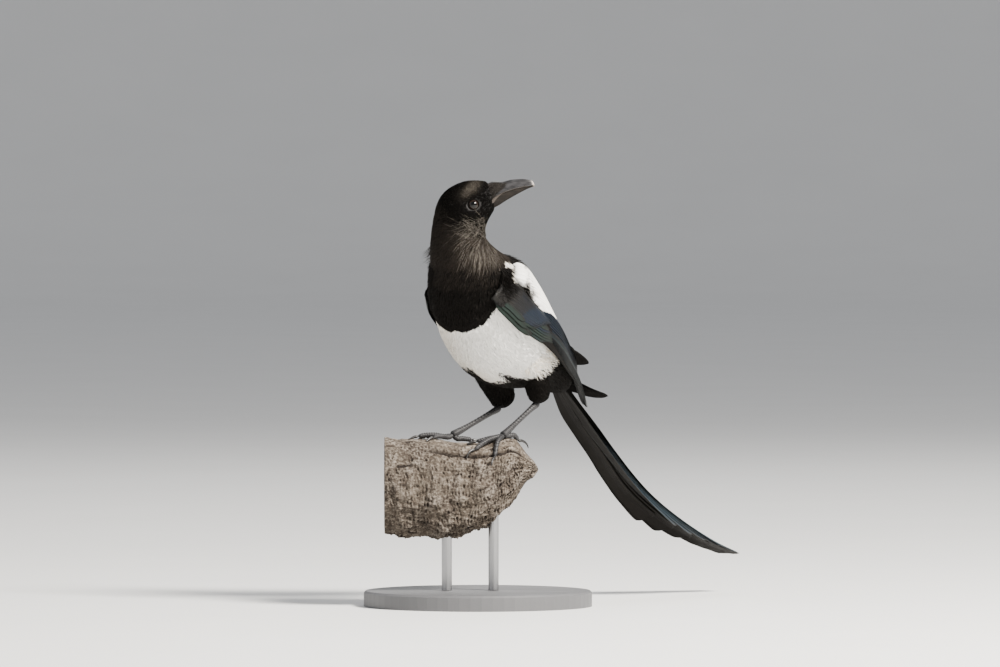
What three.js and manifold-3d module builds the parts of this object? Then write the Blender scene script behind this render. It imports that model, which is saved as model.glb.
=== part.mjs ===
// Eurasian magpie, life size, its head turned over its left shoulder, gripping a cut length of dead
// limb that a plain stand holds. Millimetres, +Z up. The body faces -Y, its left side is +X, and the
// origin is the centre of the stand's underside.
import * as THREE from 'three';
import { mergeVertices } from 'three/addons/utils/BufferGeometryUtils.js';
import Module from 'manifold-3d';

const wasm = await Module();
wasm.setup();

const DEGREE = Math.PI / 180;
const GAP = 0.3; // clear space between neighbouring pieces
const WELD = 1e-4; // vertices nearer than this are one vertex
const CROWDING = 0.1; // how far a loft's rings move towards its ends
const BEYOND = 900; // a cutting box this large reaches past everything

// The heights of what carries the bird.
const BASE_THICKNESS = 12;
const BASE_RADIUS = 88;
const BASE_BEVEL = 1.5; // around the top
const BASE_SIDES = 64;
const LIMB_TURN = 43; // the limb's long axis, turned from +X towards +Y

// The flesh and its feathers from the tail root to the face. Each station is one section: its
// centre, the way it faces (turn to the bird's left and pitch up), its half width and its reach
// above and below the centre.
const BODY = [
  { x: 0, y: 97, z: 164, turn: 0, pitch: 42, half: 12, above: 7, below: 7 }, // tail root
  { x: 0, y: 78, z: 181, turn: 0, pitch: 41, half: 23, above: 13, below: 19 }, // vent
  { x: 0, y: 56, z: 197, turn: 0, pitch: 40, half: 34.5, above: 19.5, below: 38 }, // hind belly
  { x: 0, y: 33, z: 212, turn: 0, pitch: 41, half: 40, above: 25.5, below: 47 }, // belly
  { x: 0, y: 12, z: 229, turn: 0, pitch: 45, half: 40, above: 29.5, below: 45 }, // breast
  { x: 1, y: -2, z: 246, turn: 10, pitch: 57, half: 37.5, above: 32, below: 36 }, // shoulders
  { x: 2.5, y: -9.5, z: 263, turn: 32, pitch: 73, half: 32, above: 29, below: 27.5 }, // neck base
  { x: -1.5, y: -17, z: 279, turn: 68, pitch: 80, half: 24, above: 23, below: 22.5 }, // neck
  { x: -3, y: -18, z: 292, turn: 100, pitch: 66, half: 19.5, above: 21.5, below: 22.5 }, // nape
  { x: 0, y: -16, z: 302, turn: 120, pitch: 46, half: 18.5, above: 22.5, below: 23.5 }, // hind crown
  { x: 6, y: -10.5, z: 309, turn: 128, pitch: 27, half: 16, above: 20, below: 19 }, // crown
  { x: 12.5, y: -5, z: 313, turn: 128, pitch: 17, half: 11.5, above: 15.6, below: 13 }, // forehead
  { x: 18, y: -0.5, z: 315.5, turn: 128, pitch: 15, half: 7, above: 11.5, below: 7 }, // bill root
];
const BODY_CAPS = [0.05, 0.05]; // share of the length over which each end rounds off
const BODY_CUTS = [
  { name: 'vent', from: 0, upto: 0.13 },
  { name: 'belly', from: 0.13, upto: 0.3 },
  { name: 'breast', from: 0.3, upto: 0.5 },
  { name: 'neck', from: 0.5, upto: 0.72 },
  { name: 'head', from: 0.72, upto: 1 },
];

// The head's own axes, from which the bill and the eyes are placed.
const HEAD = { x: 5.5, y: -10, z: 309, turn: 128, pitch: 15 };
const EYE_RADIUS = 4.6;
const EYE_PLACE = { forward: 0.5, side: 13, up: 0.3 };

// The closed bill from the gape to the tip, along the line where its halves meet: the distance
// forward, the height of that line, the half width, the height of the upper half and the depth of
// the lower one.
const BILL = [
  { forward: 9, line: -2.6, half: 6.4, upper: 14, lower: 3.2 },
  { forward: 17, line: 1.6, half: 5.6, upper: 11.6, lower: 6.4 },
  { forward: 25, line: 3.7, half: 4.6, upper: 7.7, lower: 6 },
  { forward: 33, line: 4.3, half: 3.5, upper: 6.7, lower: 4.5 },
  { forward: 40.5, line: 4, half: 2.5, upper: 5.5, lower: 2.4 },
  { forward: 45.5, line: 3.6, half: 1.8, upper: 4, lower: 1.2 },
  { forward: 48.8, line: 3.1, half: 0.9, upper: 2.3, lower: 0.6 },
];
const LOWER_BILL_WIDTH = 0.9; // as a share of the upper half's

const COLOURS = {
  black: 0x15161a,
  white: 0xe9e4d8,
  bluegreen: 0x1d3a40,
  tailgreen: 0x1c302c,
  horn: 0x1b1b1d,
  eye: 0x0b0806,
  scute: 0x3a3c40,
  bark: 0x7a6653,
  metal: 0x8b8d90,
};

function blend(before, from, to, after, share) {
  const bend = 3 * (from - to) + after - before;
  const lean = 2 * before - 5 * from + 4 * to - after;
  return from + 0.5 * share * (to - before + share * (lean + share * bend));
}

// A smooth station at a share of the way along a list of stations.
function stationAt(stations, share) {
  const last = stations.length - 1;
  const place = THREE.MathUtils.clamp(share, 0, 1) * last;
  const index = Math.min(Math.floor(place), last - 1);
  const from = stations[index];
  const to = stations[index + 1];
  const result = {};
  for (const key of Object.keys(from)) {
    const before = index > 0 ? stations[index - 1][key] : 2 * from[key] - to[key];
    const after = index + 1 < last ? stations[index + 2][key] : 2 * to[key] - from[key];
    result[key] = blend(before, from[key], to[key], after, place - index);
  }
  return result;
}

// The unit vectors of a station: the way it faces, its left side and its top. A roll lowers the left
// side, so that the top turns to the left.
function axesOf({ turn = 0, pitch = 0, roll = 0 }) {
  const level = Math.cos(pitch * DEGREE);
  const facing = new THREE.Vector3(
    Math.sin(turn * DEGREE) * level,
    -Math.cos(turn * DEGREE) * level,
    Math.sin(pitch * DEGREE),
  );
  const side = new THREE.Vector3(Math.cos(turn * DEGREE), Math.sin(turn * DEGREE), 0);
  const top = facing.clone().cross(side);
  const turned = new THREE.Quaternion().setFromAxisAngle(facing, -roll * DEGREE);
  return { facing, side: side.applyQuaternion(turned), top: top.applyQuaternion(turned) };
}

function placeOf({ x, y, z }) {
  return new THREE.Vector3(x, y, z);
}

function pointFrom(station, forward, side, up) {
  const axes = axesOf(station);
  return placeOf(station)
    .addScaledVector(axes.facing, forward)
    .addScaledVector(axes.side, side)
    .addScaledVector(axes.top, up);
}

// How far a section has opened at a share of the length, with round ends.
function opening(share, caps) {
  const start = Math.min(share / caps[0], 1);
  const end = Math.min((1 - share) / caps[1], 1);
  return Math.sqrt(Math.max(1 - (1 - start) ** 2, 0)) * Math.sqrt(Math.max(1 - (1 - end) ** 2, 0));
}

// A point on the skin of a loft. A bow drops a section's sides, to arch a wing or a tail.
function loftPoint(stations, share, angle, caps, grow) {
  const station = stationAt(stations, share);
  const open = opening(share, caps);
  const across = Math.cos(angle);
  const rise = Math.sin(angle);
  const reach = (rise > 0 ? station.above : station.below) + grow;
  const drop = (station.bow ?? 0) * across ** 2 * open;
  return pointFrom(station, 0, (station.half + grow) * across * open, reach * rise * open - drop);
}

function volumeOf(geometry) {
  const position = geometry.attributes.position;
  const corners = [new THREE.Vector3(), new THREE.Vector3(), new THREE.Vector3()];
  let volume = 0;
  for (let i = 0; i < geometry.index.count; i += 3) {
    corners.forEach((corner, k) => corner.fromBufferAttribute(position, geometry.index.getX(i + k)));
    volume += corners[0].dot(corners[1].clone().cross(corners[2])) / 6;
  }
  return volume;
}

// A closed geometry with only its shared vertices and its faces pointing out.
function closed(geometry) {
  geometry.deleteAttribute('normal');
  geometry.deleteAttribute('uv');
  const merged = mergeVertices(geometry, WELD);
  if (volumeOf(merged) < 0) {
    const index = merged.index;
    for (let i = 0; i < index.count; i += 3) {
      const first = index.getX(i);
      index.setX(i, index.getX(i + 1));
      index.setX(i + 1, first);
    }
  }
  return merged;
}

function toSolid(geometry) {
  const { position } = geometry.attributes;
  return new wasm.Manifold(new wasm.Mesh({
    numProp: 3,
    vertProperties: new Float32Array(position.array),
    triVerts: new Uint32Array(geometry.index.array),
  }));
}

function toGeometry(solid) {
  const mesh = solid.getMesh();
  const geometry = new THREE.BufferGeometry();
  geometry.setAttribute('position', new THREE.BufferAttribute(new Float32Array(mesh.vertProperties), 3));
  geometry.setIndex(new THREE.BufferAttribute(new Uint32Array(mesh.triVerts), 1));
  return geometry;
}

// A sphere drawn out along the stations, as one closed solid. Its rings crowd a little towards both
// ends.
function loft(stations, { sides = 20, steps = 16, caps = [0.1, 0.1], grow = 0 } = {}) {
  const geometry = new THREE.SphereGeometry(1, sides, steps);
  const { position, uv } = geometry.attributes;
  for (let i = 0; i < position.count; i += 1) {
    const even = 1 - uv.getY(i);
    const share = even - CROWDING * Math.sin(2 * Math.PI * even);
    const point = loftPoint(stations, share, uv.getX(i) * 2 * Math.PI, caps, grow);
    position.setXYZ(i, point.x, point.y, point.z);
  }
  return toSolid(closed(geometry));
}

// All that lies ahead of a plane, as a large box.
function ahead(station, offset) {
  const box = new THREE.BoxGeometry(BEYOND, BEYOND, BEYOND);
  const axes = axesOf(station);
  const basis = new THREE.Matrix4().makeBasis(axes.side, axes.top, axes.facing.clone().negate());
  box.applyMatrix4(basis);
  const centre = placeOf(station).addScaledVector(axes.facing, BEYOND / 2 + offset);
  box.translate(centre.x, centre.y, centre.z);
  return toSolid(closed(box));
}

function behind(station, offset) {
  return ahead({ ...station, turn: (station.turn ?? 0) + 180, pitch: -(station.pitch ?? 0) }, offset);
}

const magpie = new THREE.Group();

function addPiece(name, geometry, colour, roughness = 0.6, metalness = 0) {
  const material = new THREE.MeshStandardMaterial({ color: colour, roughness, metalness });
  const mesh = new THREE.Mesh(geometry, material);
  mesh.name = name;
  magpie.add(mesh);
}

// A tube of changing radius through a list of points, with round ends.
function rope(points, { sides = 10, steps = 14, caps = [0.12, 0.12], grow = 0 } = {}) {
  const stations = points.map(([x, y, z, radius], i) => {
    const from = points[Math.max(i - 1, 0)];
    const to = points[Math.min(i + 1, points.length - 1)];
    const along = new THREE.Vector3(to[0] - from[0], to[1] - from[1], to[2] - from[2]).normalize();
    return {
      x,
      y,
      z,
      turn: Math.atan2(along.x, -along.y) / DEGREE,
      pitch: Math.asin(along.z) / DEGREE,
      half: radius,
      above: radius,
      below: radius,
    };
  });
  for (let i = 1; i < stations.length; i += 1) {
    while (stations[i].turn - stations[i - 1].turn > 180) stations[i].turn -= 360;
    while (stations[i].turn - stations[i - 1].turn < -180) stations[i].turn += 360;
  }
  return loft(stations, { sides, steps, caps, grow });
}

// The same stations on the bird's right: left and right change places.
function mirrored(stations) {
  return stations.map((station) => ({
    ...station,
    x: -station.x,
    turn: -(station.turn ?? 0),
    roll: -(station.roll ?? 0),
  }));
}

const bodyShape = { sides: 20, steps: 32, caps: BODY_CAPS };
const body = loft(BODY, bodyShape);
const bodyRoom = loft(BODY, { ...bodyShape, grow: GAP });

// A folded wing's feathers from the front to the tips, as arched plates that lie on the body. The
// roll turns the outer face to the left, and the bow drops both edges.
const SCAPULARS = [
  { x: 33.8, y: 4, z: 259.5, turn: -4, pitch: 30, roll: 66, half: 5, above: 1.8, below: 4, bow: 0.5 },
  { x: 34.3, y: 15, z: 253.5, turn: 2, pitch: 34, roll: 60, half: 8.5, above: 2.2, below: 5, bow: 1.2 },
  { x: 31.5, y: 29, z: 244, turn: 2, pitch: 42, roll: 54, half: 9.5, above: 2.2, below: 5, bow: 1.6 },
  { x: 32.5, y: 39.5, z: 231.5, turn: 4, pitch: 44, roll: 52, half: 7, above: 2, below: 4, bow: 0.8 },
  { x: 29.5, y: 54, z: 219, turn: 10, pitch: 40, roll: 48, half: 2.6, above: 1.2, below: 2, bow: 0.2 },
];
const COVERTS = [
  { x: 35, y: -17, z: 244, turn: -16, pitch: 38, roll: 86, half: 8, above: 2, below: 8, bow: 0.5 },
  { x: 41, y: -4, z: 237.5, turn: -6, pitch: 36, roll: 83, half: 14, above: 2.4, below: 9, bow: 1.6 },
  { x: 42.7, y: 12, z: 226, turn: 2, pitch: 33, roll: 79, half: 14.5, above: 2.6, below: 9, bow: 2.4 },
  { x: 42.3, y: 29, z: 215.5, turn: 6, pitch: 32, roll: 75, half: 13, above: 2.6, below: 8, bow: 2.2 },
  { x: 40, y: 43, z: 207.5, turn: 10, pitch: 31, roll: 72, half: 8, above: 2.4, below: 6, bow: 0.8 },
];
const SECONDARIES = [
  { x: 34, y: 21, z: 235.5, turn: 4, pitch: 38, roll: 62, half: 9, above: 1, below: 6, bow: 1.2 },
  { x: 34.8, y: 36.5, z: 225, turn: 8, pitch: 37, roll: 60, half: 13.5, above: 1.8, below: 7, bow: 2.6 },
  { x: 30.5, y: 56.6, z: 211, turn: 13, pitch: 37, roll: 54, half: 16.5, above: 2, below: 7, bow: 3.8 },
  { x: 19.8, y: 79.3, z: 193.7, turn: 17, pitch: 39, roll: 49, half: 14, above: 2, below: 5, bow: 3.4 },
  { x: 8, y: 103, z: 177, turn: 18, pitch: 40, roll: 46, half: 6, above: 1.3, below: 1.6, bow: 0.8 },
];
const PRIMARIES = [
  { x: 43.5, y: 11, z: 219.5, turn: 4, pitch: 31, roll: 80, half: 8, above: 1.4, below: 5, bow: 0.5 },
  { x: 40.8, y: 44, z: 202.5, turn: 9, pitch: 32, roll: 76, half: 9.5, above: 1.5, below: 5, bow: 0.8 },
  { x: 30.8, y: 70, z: 186, turn: 16, pitch: 33, roll: 68, half: 9, above: 1.5, below: 4, bow: 0.8 },
  { x: 18.8, y: 93, z: 171.5, turn: 21, pitch: 31, roll: 60, half: 7.5, above: 1.3, below: 2, bow: 0.6 },
  { x: 5, y: 114, z: 159.5, turn: 23, pitch: 29, roll: 54, half: 4.8, above: 1, below: 1.1, bow: 0.3 },
  { x: -4, y: 129, z: 151, turn: 23, pitch: 32, roll: 50, half: 1.8, above: 0.6, below: 0.6, bow: 0 },
];
const WING_SIDES = 12;
const WING_LAYERS = [
  {
    name: 'scapulars',
    stations: SCAPULARS,
    colour: COLOURS.white,
    shape: { sides: WING_SIDES, steps: 10, caps: [0.25, 0.2] },
    far: { x: 0, y: 3, z: 0 },
  },
  {
    name: 'wing_coverts',
    stations: COVERTS,
    colour: COLOURS.black,
    shape: { sides: WING_SIDES, steps: 10, caps: [0.3, 0.25] },
    far: { x: 0, y: 3, z: 0 },
  },
  {
    name: 'secondaries',
    stations: SECONDARIES,
    colour: COLOURS.bluegreen,
    shape: { sides: WING_SIDES, steps: 10, caps: [0.2, 0.12] },
    far: { x: 8, y: 23, z: 7 },
  },
  {
    name: 'primaries',
    stations: PRIMARIES,
    colour: COLOURS.black,
    shape: { sides: WING_SIDES, steps: 12, caps: [0.15, 0.06] },
    far: { x: 1, y: 14, z: 8 },
  },
];

// The far wing is held a little more open than the near one, so its layers end further back.
function shifted(stations, shift) {
  const last = stations.length - 1;
  return stations.map((station, i) => ({
    ...station,
    x: station.x + shift.x * (i / last) ** 2,
    y: station.y + shift.y * (i / last) ** 2,
    z: station.z + shift.z * (i / last) ** 2,
  }));
}

// The closed tail: the central feathers lie on top, and each pair outside them is lower and shorter.
const TAIL = [
  { x: 0, y: 80, z: 184, turn: 0, pitch: 46, roll: 4, half: 11, above: 3, below: 3, bow: 1 },
  { x: -3.5, y: 111, z: 149, turn: 0, pitch: 46, roll: 5, half: 24.5, above: 2.5, below: 2.5, bow: 3 },
  { x: 0, y: 143, z: 116, turn: 0, pitch: 42, roll: 6, half: 24, above: 2, below: 2, bow: 4.5 },
  { x: -1, y: 177, z: 87, turn: 0, pitch: 36, roll: 6, half: 27, above: 1.8, below: 1.8, bow: 5 },
  { x: 0, y: 214, z: 63.5, turn: 0, pitch: 29, roll: 4, half: 25, above: 1.6, below: 1.6, bow: 5 },
  { x: 2, y: 256, z: 42.5, turn: 0, pitch: 23, roll: 1, half: 19, above: 1.3, below: 1.3, bow: 3 },
  { x: 4, y: 294, z: 28.5, turn: 0, pitch: 19, roll: -3, half: 12, above: 1, below: 1, bow: 1.2 },
];

// The legs. Each point is a place and a radius.
const LEGS = {
  right: {
    thigh: [[-17, 22, 190, 13], [-18, 35.5, 175, 11.6], [-17, 45.5, 160, 9.8], [-16, 46, 151.3, 6.8]],
    tarsus: [[-15.5, 42, 151.5, 3.2], [-16, 30, 147, 2.2], [-17, 10, 139, 2.1], [-18, -5, 133.2, 2.8],
      [-18, -10, 131.6, 3]],
  },
  left: {
    thigh: [[14, 42, 187, 11], [15.5, 48.5, 174.5, 9.8], [16, 51.5, 163, 8.3], [15.5, 52.5, 155.5, 6]],
    tarsus: [[14.5, 53, 156, 3.2], [15, 43, 150.5, 2.2], [16.5, 25, 140.5, 2.1], [18, 12, 133.4, 2.8],
      [18, 8, 131.6, 3]],
  },
};
// The toes: each leaves the foot at an angle from straight ahead, outward, and lies along the limb.
const FEET = {
  right: { at: [-18, -9, 131.2], outward: -1, turn: 30 },
  left: { at: [18, 9, 131.2], outward: 1, turn: -8 },
};
const TOES = [
  { name: 'middle', outward: 0, length: 28, radius: 2.1, arch: 3 },
  { name: 'inner', outward: -27, length: 21, radius: 1.9, arch: 2.4 },
  { name: 'outer', outward: 34, length: 22, radius: 1.9, arch: 2.4 },
  { name: 'hind', outward: 180, length: 15, radius: 2.2, arch: 1.2 },
];
const TOE_JOINTS = 4;
const TOE_CLEARANCE = 0.4; // above the limb
const TOE_TAPER = 0.18; // of the radius, from the foot to the claw
const TOE_ARCH_SHARE = 0.4; // how much of its arch a toe that carries weight keeps
const TOE_RISE = 3; // the most that a toe rises above the foot
const CLAW = {
  length: 10,
  hind_length: 13,
  radius: 1.35,
  taper: 0.75, // of the radius, from the toe to the point
  drop: 6.5,
  curl: 1.4, // radians
  reach: 0.8, // of the length, as a straight line
  clearance: 0.5, // above the limb
  places: [0, 0.35, 0.7, 1], // shares of the length
};

// The limb along its own axis, which passes under the feet: the top and bottom heights and the half
// depth from the sawn end to the broken one.
const LIMB = [
  { along: -82, top: 131, bottom: 58, half: 31 },
  { along: -58, top: 128.5, bottom: 56, half: 32 },
  { along: -36, top: 128.5, bottom: 54, half: 33 },
  { along: -16, top: 126, bottom: 54.5, half: 32 },
  { along: 2, top: 125.5, bottom: 60, half: 31 },
  { along: 16, top: 128, bottom: 70, half: 28 },
  { along: 28, top: 128.5, bottom: 82, half: 23 },
  { along: 37, top: 118, bottom: 96, half: 17 },
  { along: 46.5, top: 108, bottom: 103, half: 7 },
];
const LIMB_SAWN_AT = -72; // where the saw cut the limb square
const LIMB_SQUARE = 2.7; // how square the limb's section is, 2 being an ellipse
const LIMB_CAPS = [0.012, 0.06]; // share of the length over which each end rounds off
// The waves that roughen the limb: each has a count around, a phase for each length and a size.
const BARK = {
  sides: 18,
  steps: 14,
  rough: 1.7,
  ridges: [{ around: 7, along: 5, size: 0.4 }, { around: 11, along: -9, size: 0.28 }],
  knobs: { around: [3, -2], along: [19, 13], size: 0.8 },
};

const ROD_RADIUS = 4;
const ROD_SIDES = 16;
const ROD_PLACES = { stand_rod_front: -24, stand_rod_back: 12 };
const ROD_DEPTH = 9; // how far each rod enters the limb

// The body, cut across into its named parts.
function bodyParts(solid) {
  return BODY_CUTS.map(({ name, from, upto }) => {
    let part = solid;
    if (from > 0) part = part.intersect(ahead(stationAt(BODY, from), GAP / 2));
    if (upto < 1) part = part.intersect(behind(stationAt(BODY, upto), GAP / 2));
    return { name, solid: part };
  });
}

function billStations(key) {
  const upper = key === 'upper';
  return BILL.map((row) => {
    const line = row.line + (upper ? GAP / 2 : -GAP / 2);
    const place = pointFrom(HEAD, row.forward, 0, line);
    return {
      x: place.x,
      y: place.y,
      z: place.z,
      turn: HEAD.turn,
      pitch: HEAD.pitch,
      half: row.half * (upper ? 1 : LOWER_BILL_WIDTH),
      above: upper ? row.upper : 0,
      below: upper ? 0 : row.lower,
    };
  });
}

function eye(side, radius) {
  const centre = pointFrom(HEAD, EYE_PLACE.forward, side * EYE_PLACE.side, EYE_PLACE.up);
  const ball = new THREE.SphereGeometry(radius, 12, 8);
  ball.translate(centre.x, centre.y, centre.z);
  return toSolid(closed(ball));
}

// The height of the limb's top under a point, on which a toe lies.
function limbHeight(x, y) {
  const along = x * Math.cos(LIMB_TURN * DEGREE) + y * Math.sin(LIMB_TURN * DEGREE);
  const aside = x * Math.sin(LIMB_TURN * DEGREE) - y * Math.cos(LIMB_TURN * DEGREE);
  const last = LIMB.length - 1;
  const found = LIMB.findIndex((row) => row.along > along);
  const next = Math.min(Math.max(found < 0 ? last : found, 1), last);
  const [from, to] = [LIMB[next - 1], LIMB[next]];
  const share = THREE.MathUtils.clamp((along - from.along) / (to.along - from.along), 0, 1);
  const mixed = (key) => from[key] + share * (to[key] - from[key]);
  const out = Math.min(Math.abs(aside) / mixed('half'), 0.999);
  const half = (mixed('top') - mixed('bottom')) / 2;
  return mixed('bottom') + half + half * (1 - out ** LIMB_SQUARE) ** (1 / LIMB_SQUARE);
}

// A toe's joints lie on the limb, each a little arched.
function toePoints(foot, toe) {
  const angle = (foot.turn + toe.outward) * DEGREE * foot.outward;
  return Array.from({ length: TOE_JOINTS + 1 }, (_, joint) => {
    const share = joint / TOE_JOINTS;
    const x = foot.at[0] + Math.sin(angle) * toe.length * share;
    const y = foot.at[1] - Math.cos(angle) * toe.length * share;
    const lift = toe.radius + TOE_CLEARANCE + toe.arch * Math.sin(Math.PI * share) * TOE_ARCH_SHARE;
    const z = Math.min(limbHeight(x, y) + lift, foot.at[2] + TOE_RISE);
    return [x, y, share === 0 ? foot.at[2] : z, toe.radius * (1 - TOE_TAPER * share)];
  });
}

// A claw runs on from its toe and curves down to the limb.
function clawPoints(foot, toe, points) {
  const angle = (foot.turn + toe.outward) * DEGREE * foot.outward;
  const [x, y, z] = points[points.length - 1];
  const length = toe.name === 'hind' ? CLAW.hind_length : CLAW.length;
  return CLAW.places.map((share) => {
    const reach = length * CLAW.reach * Math.sin(share * CLAW.curl);
    const aheadX = x + Math.sin(angle) * reach;
    const aheadY = y - Math.cos(angle) * reach;
    const lowest = limbHeight(aheadX, aheadY) + CLAW.clearance;
    const height = Math.max(z - CLAW.drop * share ** 2, lowest);
    return [aheadX, aheadY, height, CLAW.radius * (1 - CLAW.taper * share)];
  });
}

function wave(size, angle, share, around, along) {
  return size * Math.sin(around * angle + along * share);
}

// How far the bark swells out of the limb's plain section. The worn top stays even.
function barkSwell(angle, share) {
  const [first, second] = BARK.ridges.map((row) => wave(row.size, angle, share, row.around, row.along));
  const { around, along, size } = BARK.knobs;
  const [left, right] = around.map((count, i) => wave(1, angle, share, count, along[i]));
  const side = 1 - Math.max(Math.sin(angle), 0);
  return BARK.rough * side * (first + second + size * left * right);
}

// The limb: a weathered log with lengthwise ridges and knobs, sawn at one end and broken at the other.
function limb() {
  const geometry = new THREE.SphereGeometry(1, BARK.sides, BARK.steps);
  const { position, uv } = geometry.attributes;
  const turn = LIMB_TURN * DEGREE;
  for (let i = 0; i < position.count; i += 1) {
    const share = 1 - uv.getY(i);
    const angle = uv.getX(i) * 2 * Math.PI;
    const row = stationAt(LIMB, share);
    const open = opening(share, LIMB_CAPS);
    const across = Math.sign(Math.cos(angle)) * Math.abs(Math.cos(angle)) ** (2 / LIMB_SQUARE);
    const rise = Math.sign(Math.sin(angle)) * Math.abs(Math.sin(angle)) ** (2 / LIMB_SQUARE);
    const swell = 1 + barkSwell(angle, share) / row.half;
    const aside = row.half * across * open * swell;
    const middle = (row.top + row.bottom) / 2;
    const height = middle + ((row.top - row.bottom) / 2) * rise * open * swell;
    const x = row.along * Math.cos(turn) + aside * Math.sin(turn);
    const y = row.along * Math.sin(turn) - aside * Math.cos(turn);
    position.setXYZ(i, x, y, height);
  }
  return toSolid(closed(geometry));
}

function upright(radius, bottom, top, x, y) {
  const rod = new THREE.CylinderGeometry(radius, radius, top - bottom, ROD_SIDES);
  rod.rotateX(Math.PI / 2);
  rod.translate(x, y, (top + bottom) / 2);
  return toSolid(closed(rod));
}

function base() {
  const outline = [
    new THREE.Vector2(0, 0),
    new THREE.Vector2(BASE_RADIUS, 0),
    new THREE.Vector2(BASE_RADIUS, BASE_THICKNESS - BASE_BEVEL),
    new THREE.Vector2(BASE_RADIUS - BASE_BEVEL, BASE_THICKNESS),
    new THREE.Vector2(0, BASE_THICKNESS),
  ];
  const disc = new THREE.LatheGeometry(outline, BASE_SIDES);
  disc.rotateX(Math.PI / 2);
  return toSolid(closed(disc));
}

// The bill and the eyes, and the room that they need in the head.
const billShape = { sides: 12, steps: 10, caps: [0.06, 0.05] };
const upperBill = loft(billStations('upper'), billShape);
const lowerBill = loft(billStations('lower'), billShape);
addPiece('bill_upper', toGeometry(upperBill.subtract(bodyRoom)), COLOURS.horn, 0.35);
addPiece('bill_lower', toGeometry(lowerBill.subtract(bodyRoom)), COLOURS.horn, 0.35);
addPiece('eye_left', toGeometry(eye(1, EYE_RADIUS)), COLOURS.eye, 0.05);
addPiece('eye_right', toGeometry(eye(-1, EYE_RADIUS)), COLOURS.eye, 0.05);
const sockets = eye(1, EYE_RADIUS + GAP).add(eye(-1, EYE_RADIUS + GAP));
bodyParts(body.subtract(sockets)).forEach(({ name, solid }) => {
  addPiece(name, toGeometry(solid), name === 'belly' ? COLOURS.white : COLOURS.black);
});

// The wings.
const leftWing = WING_LAYERS.map((layer) => ({ ...layer, name: `${layer.name}_left` }));
const rightWing = WING_LAYERS.map((layer) => ({
  ...layer,
  name: `${layer.name}_right`,
  stations: shifted(mirrored(layer.stations), layer.far),
}));
let taken = bodyRoom;
[...leftWing, ...rightWing].forEach(({ name, stations, colour, shape }) => {
  addPiece(name, toGeometry(loft(stations, shape).subtract(taken)), colour, 0.4);
  taken = taken.add(loft(stations, { ...shape, grow: GAP }));
});

// The tail.
const tail = loft(TAIL, { sides: 14, steps: 14, caps: [0.05, 0.03] });
addPiece('tail', toGeometry(tail.subtract(bodyRoom)), COLOURS.tailgreen, 0.4);

// The legs and feet.
let feetRoom = null;
Object.entries(LEGS).forEach(([side, { thigh, tarsus }]) => {
  const foot = FEET[side];
  const thighShape = { sides: 12, steps: 9, caps: [0.3, 0.2] };
  const shankShape = { sides: 8, steps: 8 };
  addPiece(`thigh_${side}`, toGeometry(rope(thigh, thighShape).subtract(bodyRoom)), COLOURS.black, 0.9);
  const thighRoom = rope(thigh, { ...thighShape, grow: GAP });
  let legTaken = rope(tarsus, { ...shankShape, grow: GAP });
  addPiece(`tarsus_${side}`, toGeometry(rope(tarsus, shankShape).subtract(thighRoom)), COLOURS.scute, 0.5);
  feetRoom = feetRoom ? feetRoom.add(legTaken) : legTaken;
  TOES.forEach((toe) => {
    const points = toePoints(foot, toe);
    const toeShape = { sides: 6, steps: 7 };
    const clawShape = { sides: 6, steps: 5, caps: [0.15, 0.1] };
    const claws = clawPoints(foot, toe, points);
    const toeSolid = rope(points, toeShape).subtract(legTaken);
    addPiece(`toe_${side}_${toe.name}`, toGeometry(toeSolid), COLOURS.scute, 0.5);
    const toeRoom = rope(points, { ...toeShape, grow: GAP });
    const clawSolid = rope(claws, clawShape).subtract(toeRoom);
    addPiece(`claw_${side}_${toe.name}`, toGeometry(clawSolid), COLOURS.horn, 0.3);
    const clawRoom = rope(claws, { ...clawShape, grow: GAP });
    legTaken = legTaken.add(toeRoom);
    feetRoom = feetRoom.add(toeRoom).add(clawRoom);
  });
});

// The limb and its stand.
const sawn = {
  x: LIMB_SAWN_AT * Math.cos(LIMB_TURN * DEGREE),
  y: LIMB_SAWN_AT * Math.sin(LIMB_TURN * DEGREE),
  z: 0,
  turn: LIMB_TURN + 90,
  pitch: 0,
};
let limbSolid = limb().intersect(ahead(sawn, 0)).subtract(feetRoom);
Object.entries(ROD_PLACES).forEach(([name, along]) => {
  const x = along * Math.cos(LIMB_TURN * DEGREE);
  const y = along * Math.sin(LIMB_TURN * DEGREE);
  const underside = stationAt(LIMB, (along - LIMB[0].along) / (LIMB.at(-1).along - LIMB[0].along)).bottom;
  const top = underside + ROD_DEPTH;
  addPiece(name, toGeometry(upright(ROD_RADIUS, BASE_THICKNESS + GAP, top, x, y)), COLOURS.metal, 0.3, 1);
  limbSolid = limbSolid.subtract(upright(ROD_RADIUS + GAP, BASE_THICKNESS, top + GAP, x, y));
});
addPiece('perch', toGeometry(limbSolid), COLOURS.bark, 0.9);
addPiece('stand_base', toGeometry(base()), COLOURS.metal, 0.5);

export default magpie;
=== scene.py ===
"""A Eurasian magpie, life size, gripping a cut length of dead limb that a plain stand holds.

The sizes in this file are millimetres in the shared frame: the body faces -Y, its left side is +X and
+Z is up. They become metres as a mesh is made.
"""

import logging
import math
from dataclasses import dataclass, field
from enum import Enum
from functools import partial
from typing import Callable

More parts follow.
